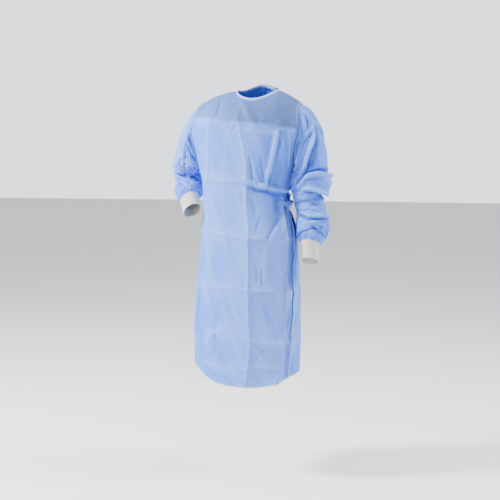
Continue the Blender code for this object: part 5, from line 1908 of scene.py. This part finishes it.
FRONT_FOLDS: tuple[Fold, ...] = (
    # Chest creases
    *packed_crease((
        (-0.200, -0.112, 0.3), (-0.130, -0.114, 0.6), (-0.060, -0.117, 0.9), (0.000, -0.120, 1.0),
        (0.040, -0.126, 1.0), (0.075, -0.137, 1.0), (0.120, -0.139, 1.0), (0.170, -0.147, 0.9), (0.215, -0.156, 0.5),
    ), reach=0.026),
    Fold(((-0.030, -0.155, 0.4), (0.030, -0.160, 0.9), (0.090, -0.168, 1.0), (0.158, -0.174, 1.0)), 0.0016, 0.006),
    Fold(((-0.045, -0.142, 0.3), (-0.022, -0.161, 1.0), (0.002, -0.143, 0.5)), -0.0022, 0.006),
    Fold(((-0.092, -0.045, 0.7), (-0.092, -0.090, 1.0), (-0.096, -0.112, 0.3)), -0.0030, 0.008),
    Fold(((0.012, -0.050, 0.8), (0.036, -0.090, 1.0), (0.066, -0.128, 0.6)), 0.0035, 0.014),
    Fold(((0.060, -0.055, 0.5), (0.095, -0.090, 0.9), (0.140, -0.120, 0.5)), -0.0030, 0.022),
    # Centre front
    *packed_crease((
        (0.004, -0.050, 0.4), (0.000, -0.120, 0.5), (0.020, -0.200, 0.5), (0.040, -0.300, 0.5), (0.045, -0.440, 0.8),
        (0.045, -0.600, 1.0), (0.050, -0.800, 1.0), (0.056, -0.900, 1.0), (0.064, -1.000, 0.9), (0.057, -1.080, 0.9),
        (0.050, -1.140, 0.9), (0.044, -1.170, 0.8),
    ), height=0.0056, reach=0.055),
    # Other upright creases
    *packed_crease(((-0.128, -0.130, 0.4), (-0.128, -0.350, 0.8), (-0.126, -0.600, 0.7), (-0.122, -0.850, 0.3))),
    *packed_crease(((-0.052, -0.200, 0.3), (-0.050, -0.400, 0.6), (-0.050, -0.620, 0.2)), height=0.0018),
    Fold(((-0.185, -0.770, 0.5), (-0.196, -0.850, 1.0), (-0.196, -0.960, 0.6)), -0.0045, 0.013),
    Fold(((-0.212, -0.760, 0.5), (-0.222, -0.850, 1.0), (-0.222, -0.980, 0.6)), 0.0040, 0.012),
    Fold(((-0.138, -0.960, 0.4), (-0.121, -1.000, 1.0), (-0.118, -1.020, 0.3)), 0.0025, 0.007),
    Fold(((-0.160, -0.900, 0.4), (-0.165, -1.000, 0.9), (-0.160, -1.090, 0.8)), -0.0022, 0.018),
    Fold(((-0.085, -0.850, 0.2), (-0.080, -0.930, 0.8), (-0.088, -1.040, 0.5)), -0.0022, 0.013),
    # Front corner, where the skirt turns to the side
    *packed_crease((
        (0.190, -0.430, 0.3), (0.190, -0.500, 0.7), (0.195, -0.587, 1.0), (0.199, -0.700, 1.0), (0.200, -0.790, 1.0),
        (0.197, -0.880, 1.0), (0.186, -0.975, 1.1), (0.170, -1.005, 1.0), (0.180, -1.050, 1.1), (0.172, -1.110, 1.2),
        (0.158, -1.165, 1.2),
    ), height=0.0085, reach=0.030),
    Fold(((0.166, -0.915, 0.5), (0.187, -0.960, 1.0), (0.192, -1.000, 0.8)), -0.0035, 0.007),
    Fold(((0.206, -0.875, 0.6), (0.192, -0.925, 1.0), (0.186, -0.950, 0.4)), 0.0030, 0.006),
    Fold(((0.240, -0.870, 0.6), (0.222, -0.945, 1.0), (0.212, -0.985, 0.6)), 0.0040, 0.008),
    Fold(((0.236, -1.055, 0.6), (0.234, -1.135, 1.2)), -0.0035, 0.012, Profile.LAP),
    Fold(((0.236, -0.800, 0.3), (0.236, -0.900, 1.0), (0.235, -1.040, 1.0), (0.232, -1.130, 0.7)), 0.0045, 0.010),
    Fold(((0.232, -0.460, 0.5), (0.240, -0.560, 1.0), (0.236, -0.680, 1.0), (0.226, -0.780, 0.4)), -0.0100, 0.020),
    Fold(((0.214, -0.500, 0.4), (0.222, -0.600, 1.0), (0.214, -0.720, 0.6)), 0.0045, 0.009, Profile.LAP),
    # Stress ridge and fan above the waist
    Fold((
        (0.164, -0.172, 0.7), (0.158, -0.215, 1.0), (0.150, -0.250, 1.0), (0.145, -0.285, 1.0), (0.137, -0.320, 0.9),
        (0.128, -0.350, 0.8), (0.122, -0.385, 0.4),
    ), -0.0050, 0.012, Profile.LAP),
    Fold(((0.160, -0.180, 0.8), (0.150, -0.250, 1.0), (0.137, -0.320, 0.7)), 0.0018, 0.005),
    Fold(((0.176, -0.255, 0.3), (0.170, -0.310, 1.0), (0.160, -0.375, 0.9)), -0.0042, 0.017),
    Fold(((0.052, -0.265, 0.3), (0.060, -0.305, 0.8), (0.062, -0.345, 1.0), (0.071, -0.374, 0.9)), -0.0038, 0.008),
    Fold(((0.067, -0.335, 0.4), (0.089, -0.374, 1.0)), -0.0030, 0.006),
    Fold(((0.098, -0.270, 0.3), (0.106, -0.330, 0.9), (0.115, -0.368, 1.0)), -0.0030, 0.007),
    Fold(((0.085, -0.310, 0.4), (0.098, -0.360, 1.0)), -0.0022, 0.006),
    Fold(((0.139, -0.338, 0.5), (0.126, -0.384, 1.0)), -0.0034, 0.006),
    Fold(((0.159, -0.318, 0.5), (0.148, -0.372, 1.0)), -0.0034, 0.007),
    Fold(((0.170, -0.176, 0.6), (0.179, -0.208, 1.0), (0.165, -0.250, 0.5)), 0.0026, 0.006),
    Fold(((0.192, -0.170, 0.5), (0.205, -0.230, 1.0), (0.214, -0.290, 0.6)), 0.0026, 0.010, Profile.LAP),
    # Waist fold
    Fold((
        (0.036, -0.358, 0.3), (0.057, -0.371, 0.9), (0.086, -0.386, 1.0), (0.124, -0.390, 1.1), (0.147, -0.399, 1.1),
        (0.190, -0.402, 1.0), (0.230, -0.406, 0.7),
    ), 0.0065, 0.013, Profile.LAP),
    Fold(((0.050, -0.369, 0.5), (0.086, -0.389, 1.0), (0.147, -0.402, 1.0), (0.200, -0.405, 0.6)), -0.0022, 0.0045),
    *packed_crease(((-0.170, -0.352, 0.4), (-0.070, -0.359, 0.8), (0.020, -0.364, 0.9), (0.055, -0.370, 0.9))),
    Fold(((0.168, -0.412, 1.0), (0.172, -0.460, 1.0), (0.160, -0.520, 0.5)), -0.0055, 0.024),
    Fold(((0.205, -0.415, 0.6), (0.195, -0.480, 1.0), (0.180, -0.560, 0.6)), 0.0035, 0.010),
    Fold(((0.163, -0.508, 0.6), (0.136, -0.545, 1.0), (0.118, -0.583, 1.0)), -0.0036, 0.0075),
    Fold(((0.175, -0.515, 0.5), (0.152, -0.550, 1.0), (0.140, -0.580, 0.5)), 0.0024, 0.008),
    Fold(((0.096, -0.498, 0.5), (0.079, -0.540, 1.0), (0.072, -0.570, 0.3)), -0.0020, 0.008),
    Fold(((0.060, -0.420, 0.6), (0.075, -0.470, 1.0), (0.070, -0.520, 0.4)), -0.0022, 0.012),
    # Creases across the skirt
    *packed_crease((
        (-0.220, -0.558, 0.3), (-0.150, -0.562, 0.5), (-0.088, -0.570, 0.8), (0.040, -0.585, 1.0), (0.120, -0.587, 1.1),
        (0.205, -0.587, 1.1), (0.260, -0.583, 0.5),
    )),
    Fold(((0.095, -0.583, 0.6), (0.140, -0.584, 1.0), (0.200, -0.584, 0.9)), -0.0024, 0.0045),
    Fold(((0.083, -0.695, 0.5), (0.084, -0.750, 1.0)), -0.0020, 0.007),
    Fold(((0.101, -0.710, 0.5), (0.104, -0.765, 1.0)), -0.0020, 0.007),
    Fold(((0.120, -0.620, 0.5), (0.112, -0.680, 1.0), (0.118, -0.740, 0.5)), 0.0022, 0.012),
    *packed_crease((
        (-0.240, -0.790, 0.5), (-0.170, -0.786, 0.8), (-0.100, -0.783, 0.9), (-0.020, -0.781, 0.9), (0.030, -0.789, 1.1),
        (0.080, -0.792, 1.1), (0.215, -0.799, 1.0), (0.270, -0.800, 0.6),
    )),
    Fold(((0.020, -0.793, 0.5), (0.110, -0.797, 1.0), (0.200, -0.803, 0.7)), -0.0020, 0.005),
    *packed_crease((
        (-0.200, -1.010, 0.3), (-0.120, -0.996, 0.6), (-0.110, -0.984, 0.8), (-0.092, -0.963, 1.0),
        (-0.055, -0.953, 1.0), (-0.012, -0.961, 1.0), (0.038, -0.978, 1.1), (0.094, -0.992, 1.1), (0.185, -1.000, 1.0),
    )),
    *packed_crease(((0.188, -1.000, 0.8), (0.225, -0.990, 1.2), (0.255, -0.981, 0.9), (0.300, -0.985, 0.4))),
    # Near the hem
    *packed_crease(((-0.160, -1.084, 0.4), (-0.110, -1.091, 0.7), (0.020, -1.104, 0.8), (0.046, -1.106, 0.5)), reach=0.018),
    *packed_crease(((0.062, -1.088, 0.5), (0.110, -1.092, 0.9), (0.165, -1.094, 0.6)), reach=0.018),
    Fold(((-0.030, -1.125, 0.4), (0.005, -1.138, 1.0), (0.030, -1.142, 0.4)), 0.0018, 0.005),
    Fold(((0.080, -1.000, 0.4), (0.110, -1.045, 1.0), (0.140, -1.070, 0.4)), 0.0022, 0.009),
    Fold(((0.088, -1.060, 0.4), (0.120, -1.020, 1.0), (0.150, -1.010, 0.4)), -0.0020, 0.008),
    Fold(((-0.130, -1.100, 0.5), (-0.100, -1.125, 1.0), (-0.060, -1.140, 0.5)), -0.0022, 0.009),
    Fold(((-0.010, -0.840, 0.3), (0.010, -0.880, 0.8), (0.050, -0.930, 0.6)), 0.0020, 0.012),
    Fold(((0.110, -0.830, 0.4), (0.130, -0.880, 1.0), (0.150, -0.940, 0.6)), -0.0014, 0.013),
)
BACK_FOLDS: tuple[Fold, ...] = (
    *packed_crease((
        (-0.200, -0.150, 0.5), (-0.110, -0.139, 0.9), (0.010, -0.133, 1.0), (0.090, -0.141, 0.9), (0.170, -0.155, 0.4),
    )),
    *packed_crease((
        (-0.230, -0.369, 0.5), (-0.140, -0.360, 0.8), (-0.020, -0.372, 1.0), (0.080, -0.366, 0.9), (0.180, -0.384, 0.6),
    )),
    *packed_crease((
        (-0.270, -0.571, 0.6), (-0.150, -0.584, 0.9), (-0.020, -0.579, 1.0), (0.120, -0.592, 1.0), (0.240, -0.583, 0.7),
    )),
    *packed_crease((
        (-0.280, -0.792, 0.7), (-0.160, -0.801, 1.0), (-0.030, -0.796, 1.0), (0.110, -0.808, 0.9), (0.250, -0.797, 0.8),
    )),
    *packed_crease((
        (-0.280, -1.005, 0.7), (-0.190, -0.992, 1.0), (-0.060, -1.004, 1.0), (0.080, -0.990, 0.9), (0.240, -1.001, 0.7),
    )),
    *packed_crease((
        (-0.006, -0.110, 0.5), (0.004, -0.300, 0.7), (-0.004, -0.480, 0.8), (0.006, -0.760, 1.0), (-0.004, -1.110, 1.0),
    ), height=0.0050, reach=0.050),
    *packed_crease(((0.158, -0.440, 0.3), (0.162, -0.640, 0.9), (0.168, -0.880, 1.0), (0.172, -1.110, 1.0)), height=0.0050),
    *packed_crease((
        (-0.150, -0.200, 0.4), (-0.152, -0.400, 0.6), (-0.158, -0.640, 0.9), (-0.166, -0.880, 1.0), (-0.170, -1.110, 1.0),
    ), height=0.0050),
    # Pull of the waist tie across the wrap
    Fold(((0.225, -0.424, 1.0), (0.150, -0.398, 0.9), (0.060, -0.352, 0.5), (-0.020, -0.300, 0.2)), 0.0060, 0.014, Profile.LAP),
    Fold(((0.228, -0.436, 1.0), (0.160, -0.432, 1.0), (0.070, -0.414, 0.7), (-0.040, -0.402, 0.3)), 0.0055, 0.011, Profile.LAP),
    Fold(((0.228, -0.452, 1.0), (0.170, -0.478, 0.9), (0.100, -0.530, 0.5), (0.050, -0.570, 0.2)), -0.0060, 0.013, Profile.LAP),
    Fold(((0.215, -0.470, 0.8), (0.185, -0.530, 0.9), (0.160, -0.600, 0.4)), -0.0045, 0.011),
    # Sag between the shoulders and above the waist
    Fold(((-0.150, -0.230, 0.5), (-0.090, -0.260, 1.0), (-0.030, -0.262, 0.5)), -0.0030, 0.014),
    Fold(((0.150, -0.215, 0.4), (0.090, -0.246, 1.0), (0.040, -0.250, 0.4)), -0.0026, 0.012),
    Fold(((-0.190, -0.250, 0.6), (-0.150, -0.310, 1.0), (-0.120, -0.350, 0.4)), 0.0045, 0.011, Profile.LAP),
    Fold(((-0.200, -0.400, 0.6), (-0.120, -0.410, 1.0), (-0.050, -0.398, 0.5)), 0.0050, 0.012, Profile.LAP),
    Fold(((-0.180, -0.430, 0.4), (-0.110, -0.448, 1.0), (-0.070, -0.440, 0.5)), -0.0030, 0.009),
    Fold(((-0.090, -0.640, 0.4), (-0.082, -0.720, 1.0), (-0.088, -0.780, 0.3)), -0.0025, 0.011),
    Fold(((0.085, -0.860, 0.4), (0.078, -0.930, 1.0), (0.088, -0.980, 0.4)), -0.0028, 0.012),
    Fold(((-0.220, -0.840, 0.4), (-0.215, -0.930, 1.0), (-0.205, -0.980, 0.4)), -0.0040, 0.014),
    Fold(((0.060, -1.040, 0.4), (0.010, -1.070, 1.0), (-0.040, -1.075, 0.4)), 0.0022, 0.008),
    # Right side
    Fold(((-0.290, -0.330, 0.5), (-0.250, -0.380, 1.0), (-0.215, -0.430, 0.5)), 0.0050, 0.012, Profile.LAP),
    Fold(((-0.300, -0.640, 0.4), (-0.300, -0.760, 1.0), (-0.296, -0.860, 0.4)), -0.0045, 0.015),
)
LEFT_WRINKLES: tuple[Fold, ...] = (
    # Deep fold down from the shoulder, and the roll above the elbow
    Fold((
        (0.050, 0.066, 0.4), (0.067, 0.090, 0.9), (0.086, 0.098, 1.0), (0.102, 0.115, 1.1), (0.110, 0.133, 1.1),
        (0.122, 0.158, 0.8),
    ), -0.0085, 0.013, Profile.LAP),
    Fold(((0.060, 0.100, 0.5), (0.078, 0.122, 1.0), (0.092, 0.142, 0.8)), -0.0060, 0.015),
    Fold(((0.076, 0.074, 0.6), (0.094, 0.092, 1.0), (0.108, 0.108, 0.5)), 0.0030, 0.007),
    Fold((
        (0.140, 0.205, 0.4), (0.107, 0.178, 0.9), (0.070, 0.181, 1.0), (0.030, 0.190, 1.1), (0.000, 0.194, 1.0),
        (-0.050, 0.190, 0.7), (-0.100, 0.180, 0.3),
    ), -0.0080, 0.012, Profile.LAP),
    Fold(((0.046, 0.208, 0.8), (0.020, 0.222, 1.0), (-0.020, 0.224, 0.5)), 0.0050, 0.018),
    Fold(((0.128, 0.196, 0.5), (0.090, 0.199, 0.8), (0.062, 0.210, 0.3)), -0.0030, 0.008),
    # Creases below the elbow
    Fold((
        (0.120, 0.238, 0.4), (0.102, 0.242, 0.8), (0.075, 0.250, 1.0), (0.055, 0.257, 1.1), (0.020, 0.264, 1.1),
        (-0.030, 0.262, 0.8), (-0.090, 0.255, 0.3),
    ), 0.0070, 0.010, Profile.LAP),
    Fold(((0.180, 0.232, 0.4), (0.150, 0.236, 1.0), (0.118, 0.231, 0.5)), -0.0024, 0.007),
    Fold(((0.180, 0.262, 0.3), (0.140, 0.266, 1.0), (0.100, 0.272, 0.5)), 0.0024, 0.009),
    Fold(((0.175, 0.290, 0.5), (0.130, 0.288, 1.0), (0.090, 0.285, 0.6)), -0.0024, 0.008),
    Fold(((0.080, 0.298, 0.5), (0.062, 0.303, 1.0), (0.040, 0.300, 0.4)), -0.0040, 0.008),
    Fold(((0.165, 0.312, 0.4), (0.120, 0.318, 1.0), (0.070, 0.322, 0.5)), 0.0026, 0.010),
    Fold(((0.010, 0.292, 0.5), (-0.040, 0.300, 1.0), (-0.090, 0.290, 0.5)), -0.0050, 0.011),
    Fold((
        (0.155, 0.340, 0.3), (0.132, 0.353, 0.9), (0.105, 0.367, 1.0), (0.078, 0.366, 1.0), (0.055, 0.363, 1.0),
        (0.030, 0.362, 1.0), (-0.020, 0.358, 0.7), (-0.070, 0.350, 0.4),
    ), 0.0058, 0.010, Profile.LAP),
    Fold(((0.150, 0.372, 0.4), (0.110, 0.386, 1.0), (0.070, 0.384, 0.5)), 0.0026, 0.009),
    # Folds into the cuff
    Fold(((0.090, 0.402, 0.6), (0.080, 0.410, 1.0), (0.055, 0.424, 1.1), (0.022, 0.434, 1.0)), -0.0055, 0.0075),
    Fold(((0.083, 0.410, 0.9), (0.120, 0.424, 1.0), (0.168, 0.433, 1.0)), -0.0048, 0.0070),
    Fold(((0.095, 0.424, 0.6), (0.082, 0.432, 1.0), (0.060, 0.442, 0.6)), 0.0035, 0.008),
    Fold(((0.135, 0.437, 0.7), (0.160, 0.444, 1.0)), -0.0035, 0.005),
    Fold(((0.043, 0.384, 0.6), (0.056, 0.408, 1.0)), -0.0034, 0.007),
    Fold(((0.024, 0.392, 0.5), (0.008, 0.420, 1.0), (0.000, 0.436, 0.5)), -0.0045, 0.008),
    Fold(((0.060, 0.438, 0.8), (0.071, 0.450, 1.0)), -0.0040, 0.005),
    # Top of the shoulder
    Fold(((0.044, 0.024, 0.7), (0.056, 0.034, 1.0), (0.070, 0.040, 0.4)), -0.0040, 0.006),
    Fold(((0.052, 0.018, 0.8), (0.070, 0.025, 1.0), (0.088, 0.030, 0.4)), 0.0030, 0.005),
    Fold(((0.032, 0.036, 0.8), (0.035, 0.046, 1.0), (0.030, 0.064, 0.6)), 0.0040, 0.007),
    Fold(((0.018, 0.030, 0.5), (0.022, 0.060, 1.0), (0.018, 0.090, 0.5)), -0.0035, 0.009),
    Fold(((0.104, 0.052, 0.5), (0.075, 0.062, 1.0), (0.052, 0.067, 0.6)), -0.0030, 0.006),
    Fold(((0.100, 0.044, 0.5), (0.072, 0.053, 1.0), (0.050, 0.058, 0.5)), 0.0024, 0.007),
    Fold(((0.125, 0.014, 0.8), (0.150, 0.012, 1.0)), -0.0060, 0.007),
    Fold(((0.165, 0.030, 0.8), (0.188, 0.022, 1.0)), -0.0055, 0.007),
    Fold(((0.140, 0.040, 0.5), (0.160, 0.060, 1.0), (0.172, 0.090, 0.5)), 0.0050, 0.012, Profile.LAP),
    # Back of the sleeve
    Fold(((-0.040, 0.070, 0.4), (-0.080, 0.098, 1.0), (-0.120, 0.130, 0.7)), 0.0070, 0.013, Profile.LAP),
    Fold(((-0.030, 0.128, 0.5), (-0.090, 0.150, 1.0), (-0.150, 0.162, 0.6)), -0.0060, 0.012, Profile.LAP),
    Fold(((-0.080, 0.222, 0.5), (-0.130, 0.214, 1.0), (-0.190, 0.225, 0.5)), -0.0045, 0.010),
    Fold(((-0.070, 0.318, 0.5), (-0.120, 0.328, 1.0), (-0.180, 0.318, 0.5)), 0.0050, 0.011, Profile.LAP),
    Fold(((-0.050, 0.388, 0.5), (-0.110, 0.398, 1.0), (-0.170, 0.388, 0.5)), -0.0045, 0.009),
    Fold(((-0.040, 0.420, 0.7), (-0.070, 0.436, 1.0)), -0.0045, 0.007),
    Fold(((-0.110, 0.424, 0.7), (-0.140, 0.440, 1.0)), -0.0045, 0.007),
)
RIGHT_WRINKLES: tuple[Fold, ...] = (
    # Fullness of the upper sleeve
    Fold(((0.040, 0.050, 0.8), (0.058, 0.075, 1.0), (0.070, 0.100, 0.6)), 0.0100, 0.034),
    Fold(((0.078, 0.140, 0.8), (0.088, 0.160, 1.0), (0.092, 0.185, 0.4)), 0.0090, 0.030),
    # Long folds down the front
    Fold(((0.092, 0.016, 0.6), (0.110, 0.020, 1.0), (0.128, 0.018, 0.8)), -0.0060, 0.010),
    Fold((
        (0.100, 0.044, 0.4), (0.120, 0.037, 0.9), (0.146, 0.031, 1.1), (0.165, 0.018, 1.0),
    ), -0.0090, 0.011, Profile.LAP),
    Fold((
        (0.100, 0.118, 0.4), (0.118, 0.111, 0.7), (0.128, 0.104, 0.9), (0.145, 0.093, 1.1), (0.163, 0.085, 1.1),
        (0.190, 0.050, 0.9),
    ), -0.0080, 0.010, Profile.LAP),
    Fold(((0.120, 0.075, 0.4), (0.140, 0.064, 1.0), (0.160, 0.052, 0.6)), 0.0040, 0.010),
    Fold(((0.150, 0.128, 0.5), (0.170, 0.118, 1.0), (0.185, 0.112, 1.1), (0.205, 0.128, 0.8)), -0.0065, 0.009, Profile.LAP),
    Fold(((0.180, 0.072, 0.8), (0.205, 0.062, 1.0)), -0.0055, 0.007),
    Fold(((0.150, 0.160, 0.4), (0.172, 0.165, 0.8), (0.198, 0.203, 1.1), (0.225, 0.245, 1.1)), -0.0085, 0.012, Profile.LAP),
    Fold(((0.186, 0.190, 0.6), (0.210, 0.222, 1.0), (0.228, 0.250, 0.7)), -0.0060, 0.014),
    Fold(((0.178, 0.240, 0.4), (0.198, 0.250, 1.0), (0.222, 0.270, 1.0)), -0.0050, 0.008),
    Fold(((0.110, 0.165, 0.3), (0.128, 0.176, 1.0), (0.138, 0.200, 0.6)), 0.0045, 0.012),
    # Folds round the bent elbow
    Fold(((0.105, 0.060, 0.4), (0.130, 0.080, 1.0), (0.150, 0.110, 0.8)), 0.0050, 0.010, Profile.LAP),
    Fold(((0.095, 0.105, 0.5), (0.120, 0.112, 1.0), (0.150, 0.135, 1.0), (0.185, 0.165, 0.9)), -0.0065, 0.009, Profile.LAP),
    Fold(((0.092, 0.140, 0.5), (0.118, 0.142, 1.0), (0.150, 0.158, 1.0), (0.190, 0.190, 0.8)), -0.0070, 0.009, Profile.LAP),
    Fold(((0.092, 0.172, 0.5), (0.115, 0.178, 1.0), (0.145, 0.182, 1.0), (0.175, 0.196, 0.8)), -0.0070, 0.008, Profile.LAP),
    Fold(((0.100, 0.200, 0.5), (0.130, 0.208, 1.0), (0.165, 0.222, 1.0)), 0.0055, 0.008, Profile.LAP),
    Fold(((0.100, 0.240, 0.5), (0.135, 0.250, 1.0), (0.170, 0.262, 0.8)), -0.0055, 0.008, Profile.LAP),
    Fold(((0.100, 0.290, 0.5), (0.125, 0.300, 1.0), (0.160, 0.305, 0.8)), 0.0050, 0.008, Profile.LAP),
    # Hooked fold round to the wrist
    Fold((
        (0.136, 0.160, 0.3), (0.139, 0.220, 0.7), (0.141, 0.280, 0.8), (0.143, 0.322, 1.0), (0.152, 0.337, 1.1),
        (0.185, 0.355, 1.0), (0.212, 0.368, 0.7),
    ), -0.0050, 0.007),
    Fold(((0.156, 0.318, 0.5), (0.175, 0.330, 1.0), (0.205, 0.345, 0.6)), 0.0040, 0.009),
    Fold(((0.112, 0.215, 0.4), (0.118, 0.260, 1.0), (0.116, 0.310, 0.6)), 0.0045, 0.012),
    Fold(((0.160, 0.280, 0.5), (0.185, 0.292, 1.0), (0.210, 0.310, 0.6)), -0.0045, 0.009),
    # Gathers at the wrist
    Fold(((0.143, 0.345, 0.7), (0.151, 0.385, 1.0)), -0.0045, 0.006),
    Fold(((0.165, 0.350, 0.7), (0.172, 0.388, 1.0)), -0.0045, 0.006),
    Fold(((0.120, 0.340, 0.6), (0.126, 0.384, 1.0)), -0.0045, 0.007),
    Fold(((0.095, 0.345, 0.6), (0.100, 0.384, 1.0)), -0.0040, 0.007),
    # Back of the sleeve
    Fold(((-0.030, 0.060, 0.4), (-0.070, 0.090, 1.0), (-0.110, 0.110, 0.6)), 0.0070, 0.013, Profile.LAP),
    Fold(((0.020, 0.150, 0.5), (-0.040, 0.166, 1.0), (-0.100, 0.172, 0.6)), -0.0070, 0.012, Profile.LAP),
    Fold(((0.030, 0.205, 0.5), (-0.030, 0.216, 1.0), (-0.100, 0.208, 0.6)), 0.0065, 0.011, Profile.LAP),
    Fold(((0.050, 0.262, 0.5), (-0.010, 0.274, 1.0), (-0.080, 0.266, 0.6)), -0.0060, 0.011, Profile.LAP),
    Fold(((0.060, 0.320, 0.5), (0.010, 0.330, 1.0), (-0.050, 0.324, 0.5)), -0.0045, 0.009),
    Fold(((-0.020, 0.350, 0.7), (-0.026, 0.384, 1.0)), -0.0040, 0.007),
    Fold(((0.050, 0.350, 0.7), (0.055, 0.386, 1.0)), -0.0040, 0.007),
    Fold(((-0.090, 0.345, 0.7), (-0.100, 0.380, 1.0)), -0.0040, 0.007),
)


@dataclass(frozen=True)
class Gown:
    """The whole gown, piece by piece."""

    panels: Panels = field(default_factory=Panels)
    binding: NeckBinding = field(default_factory=NeckBinding)
    tab: NeckTab = field(default_factory=NeckTab)

    def declare(
        self, piece: bpy.types.Object
    ) -> None:
        """Report a piece's count of faces."""
        log.info("%s: %d faces", piece.name, len(piece.data.polygons))

    def build(self) -> None:
        """Make and dress every piece, and report the face counts of all but the knot."""
        grains = Grains(fibre_group(), crumple_group(), stitch_group())
        cloth = NonwovenFinish().material(grains)
        band = BandFinish("neck_band_cloth", (0.300, 0.480, 0.920, 1.0), (0.500, 0.660, 0.960, 1.0), 0.0022).material(grains)
        # The ties' deeper blue is painted shade, for the shade under the arm where they hang; the neck tab wears the
        # same blue.
        tie = BandFinish("tie_cloth", (0.100, 0.235, 0.700, 1.0), (0.180, 0.340, 0.800, 1.0), 0.0065).material(grains)
        knit = KnitFinish().material(grains)
        # The sleeves get stronger painted shade in their troughs.
        sleeve_cloth = NonwovenFinish("sleeve_nonwoven", crumple_height=0.0135, trough_shade=0.72, with_panel_marks=False).material(grains)
        front, wrap, under = self.panels.build(cloth)
        self.declare(front)
        self.declare(wrap)
        self.declare(under)
        left = Sleeve("left", LEFT_SLEEVE_FORM, LEFT_WRINKLES, right=False, fold_gain=1.65)
        right = Sleeve("right", RIGHT_SLEEVE_FORM, RIGHT_WRINKLES, right=True, fold_gain=1.25)
        self.declare(left.build(self.panels, sleeve_cloth))
        self.declare(right.build(self.panels, sleeve_cloth))
        self.declare(Cuff(left, (0.001, -0.006, -0.072)).build(self.panels, knit))
        self.declare(Cuff(right, (0.028, -0.042, -0.046)).build(self.panels, knit))
        self.declare(self.binding.build(self.panels, band))
        self.declare(self.tab.build(self.panels, self.binding, tie))
        ties = WaistTie(self.panels.form.body).build(tie)
        for name, length in (("tie_back", 0.092), ("tie_front", 0.045), ("tie_tail_front", 0.160), ("tie_tail_back", 0.188)):
            self.declare(ties[name])


def main() -> None:
    """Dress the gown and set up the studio."""
    logging.basicConfig(level=logging.INFO, format="%(name)s: %(message)s")
    Studio().build()
    Gown().build()


if __name__ == "__main__":
    main()
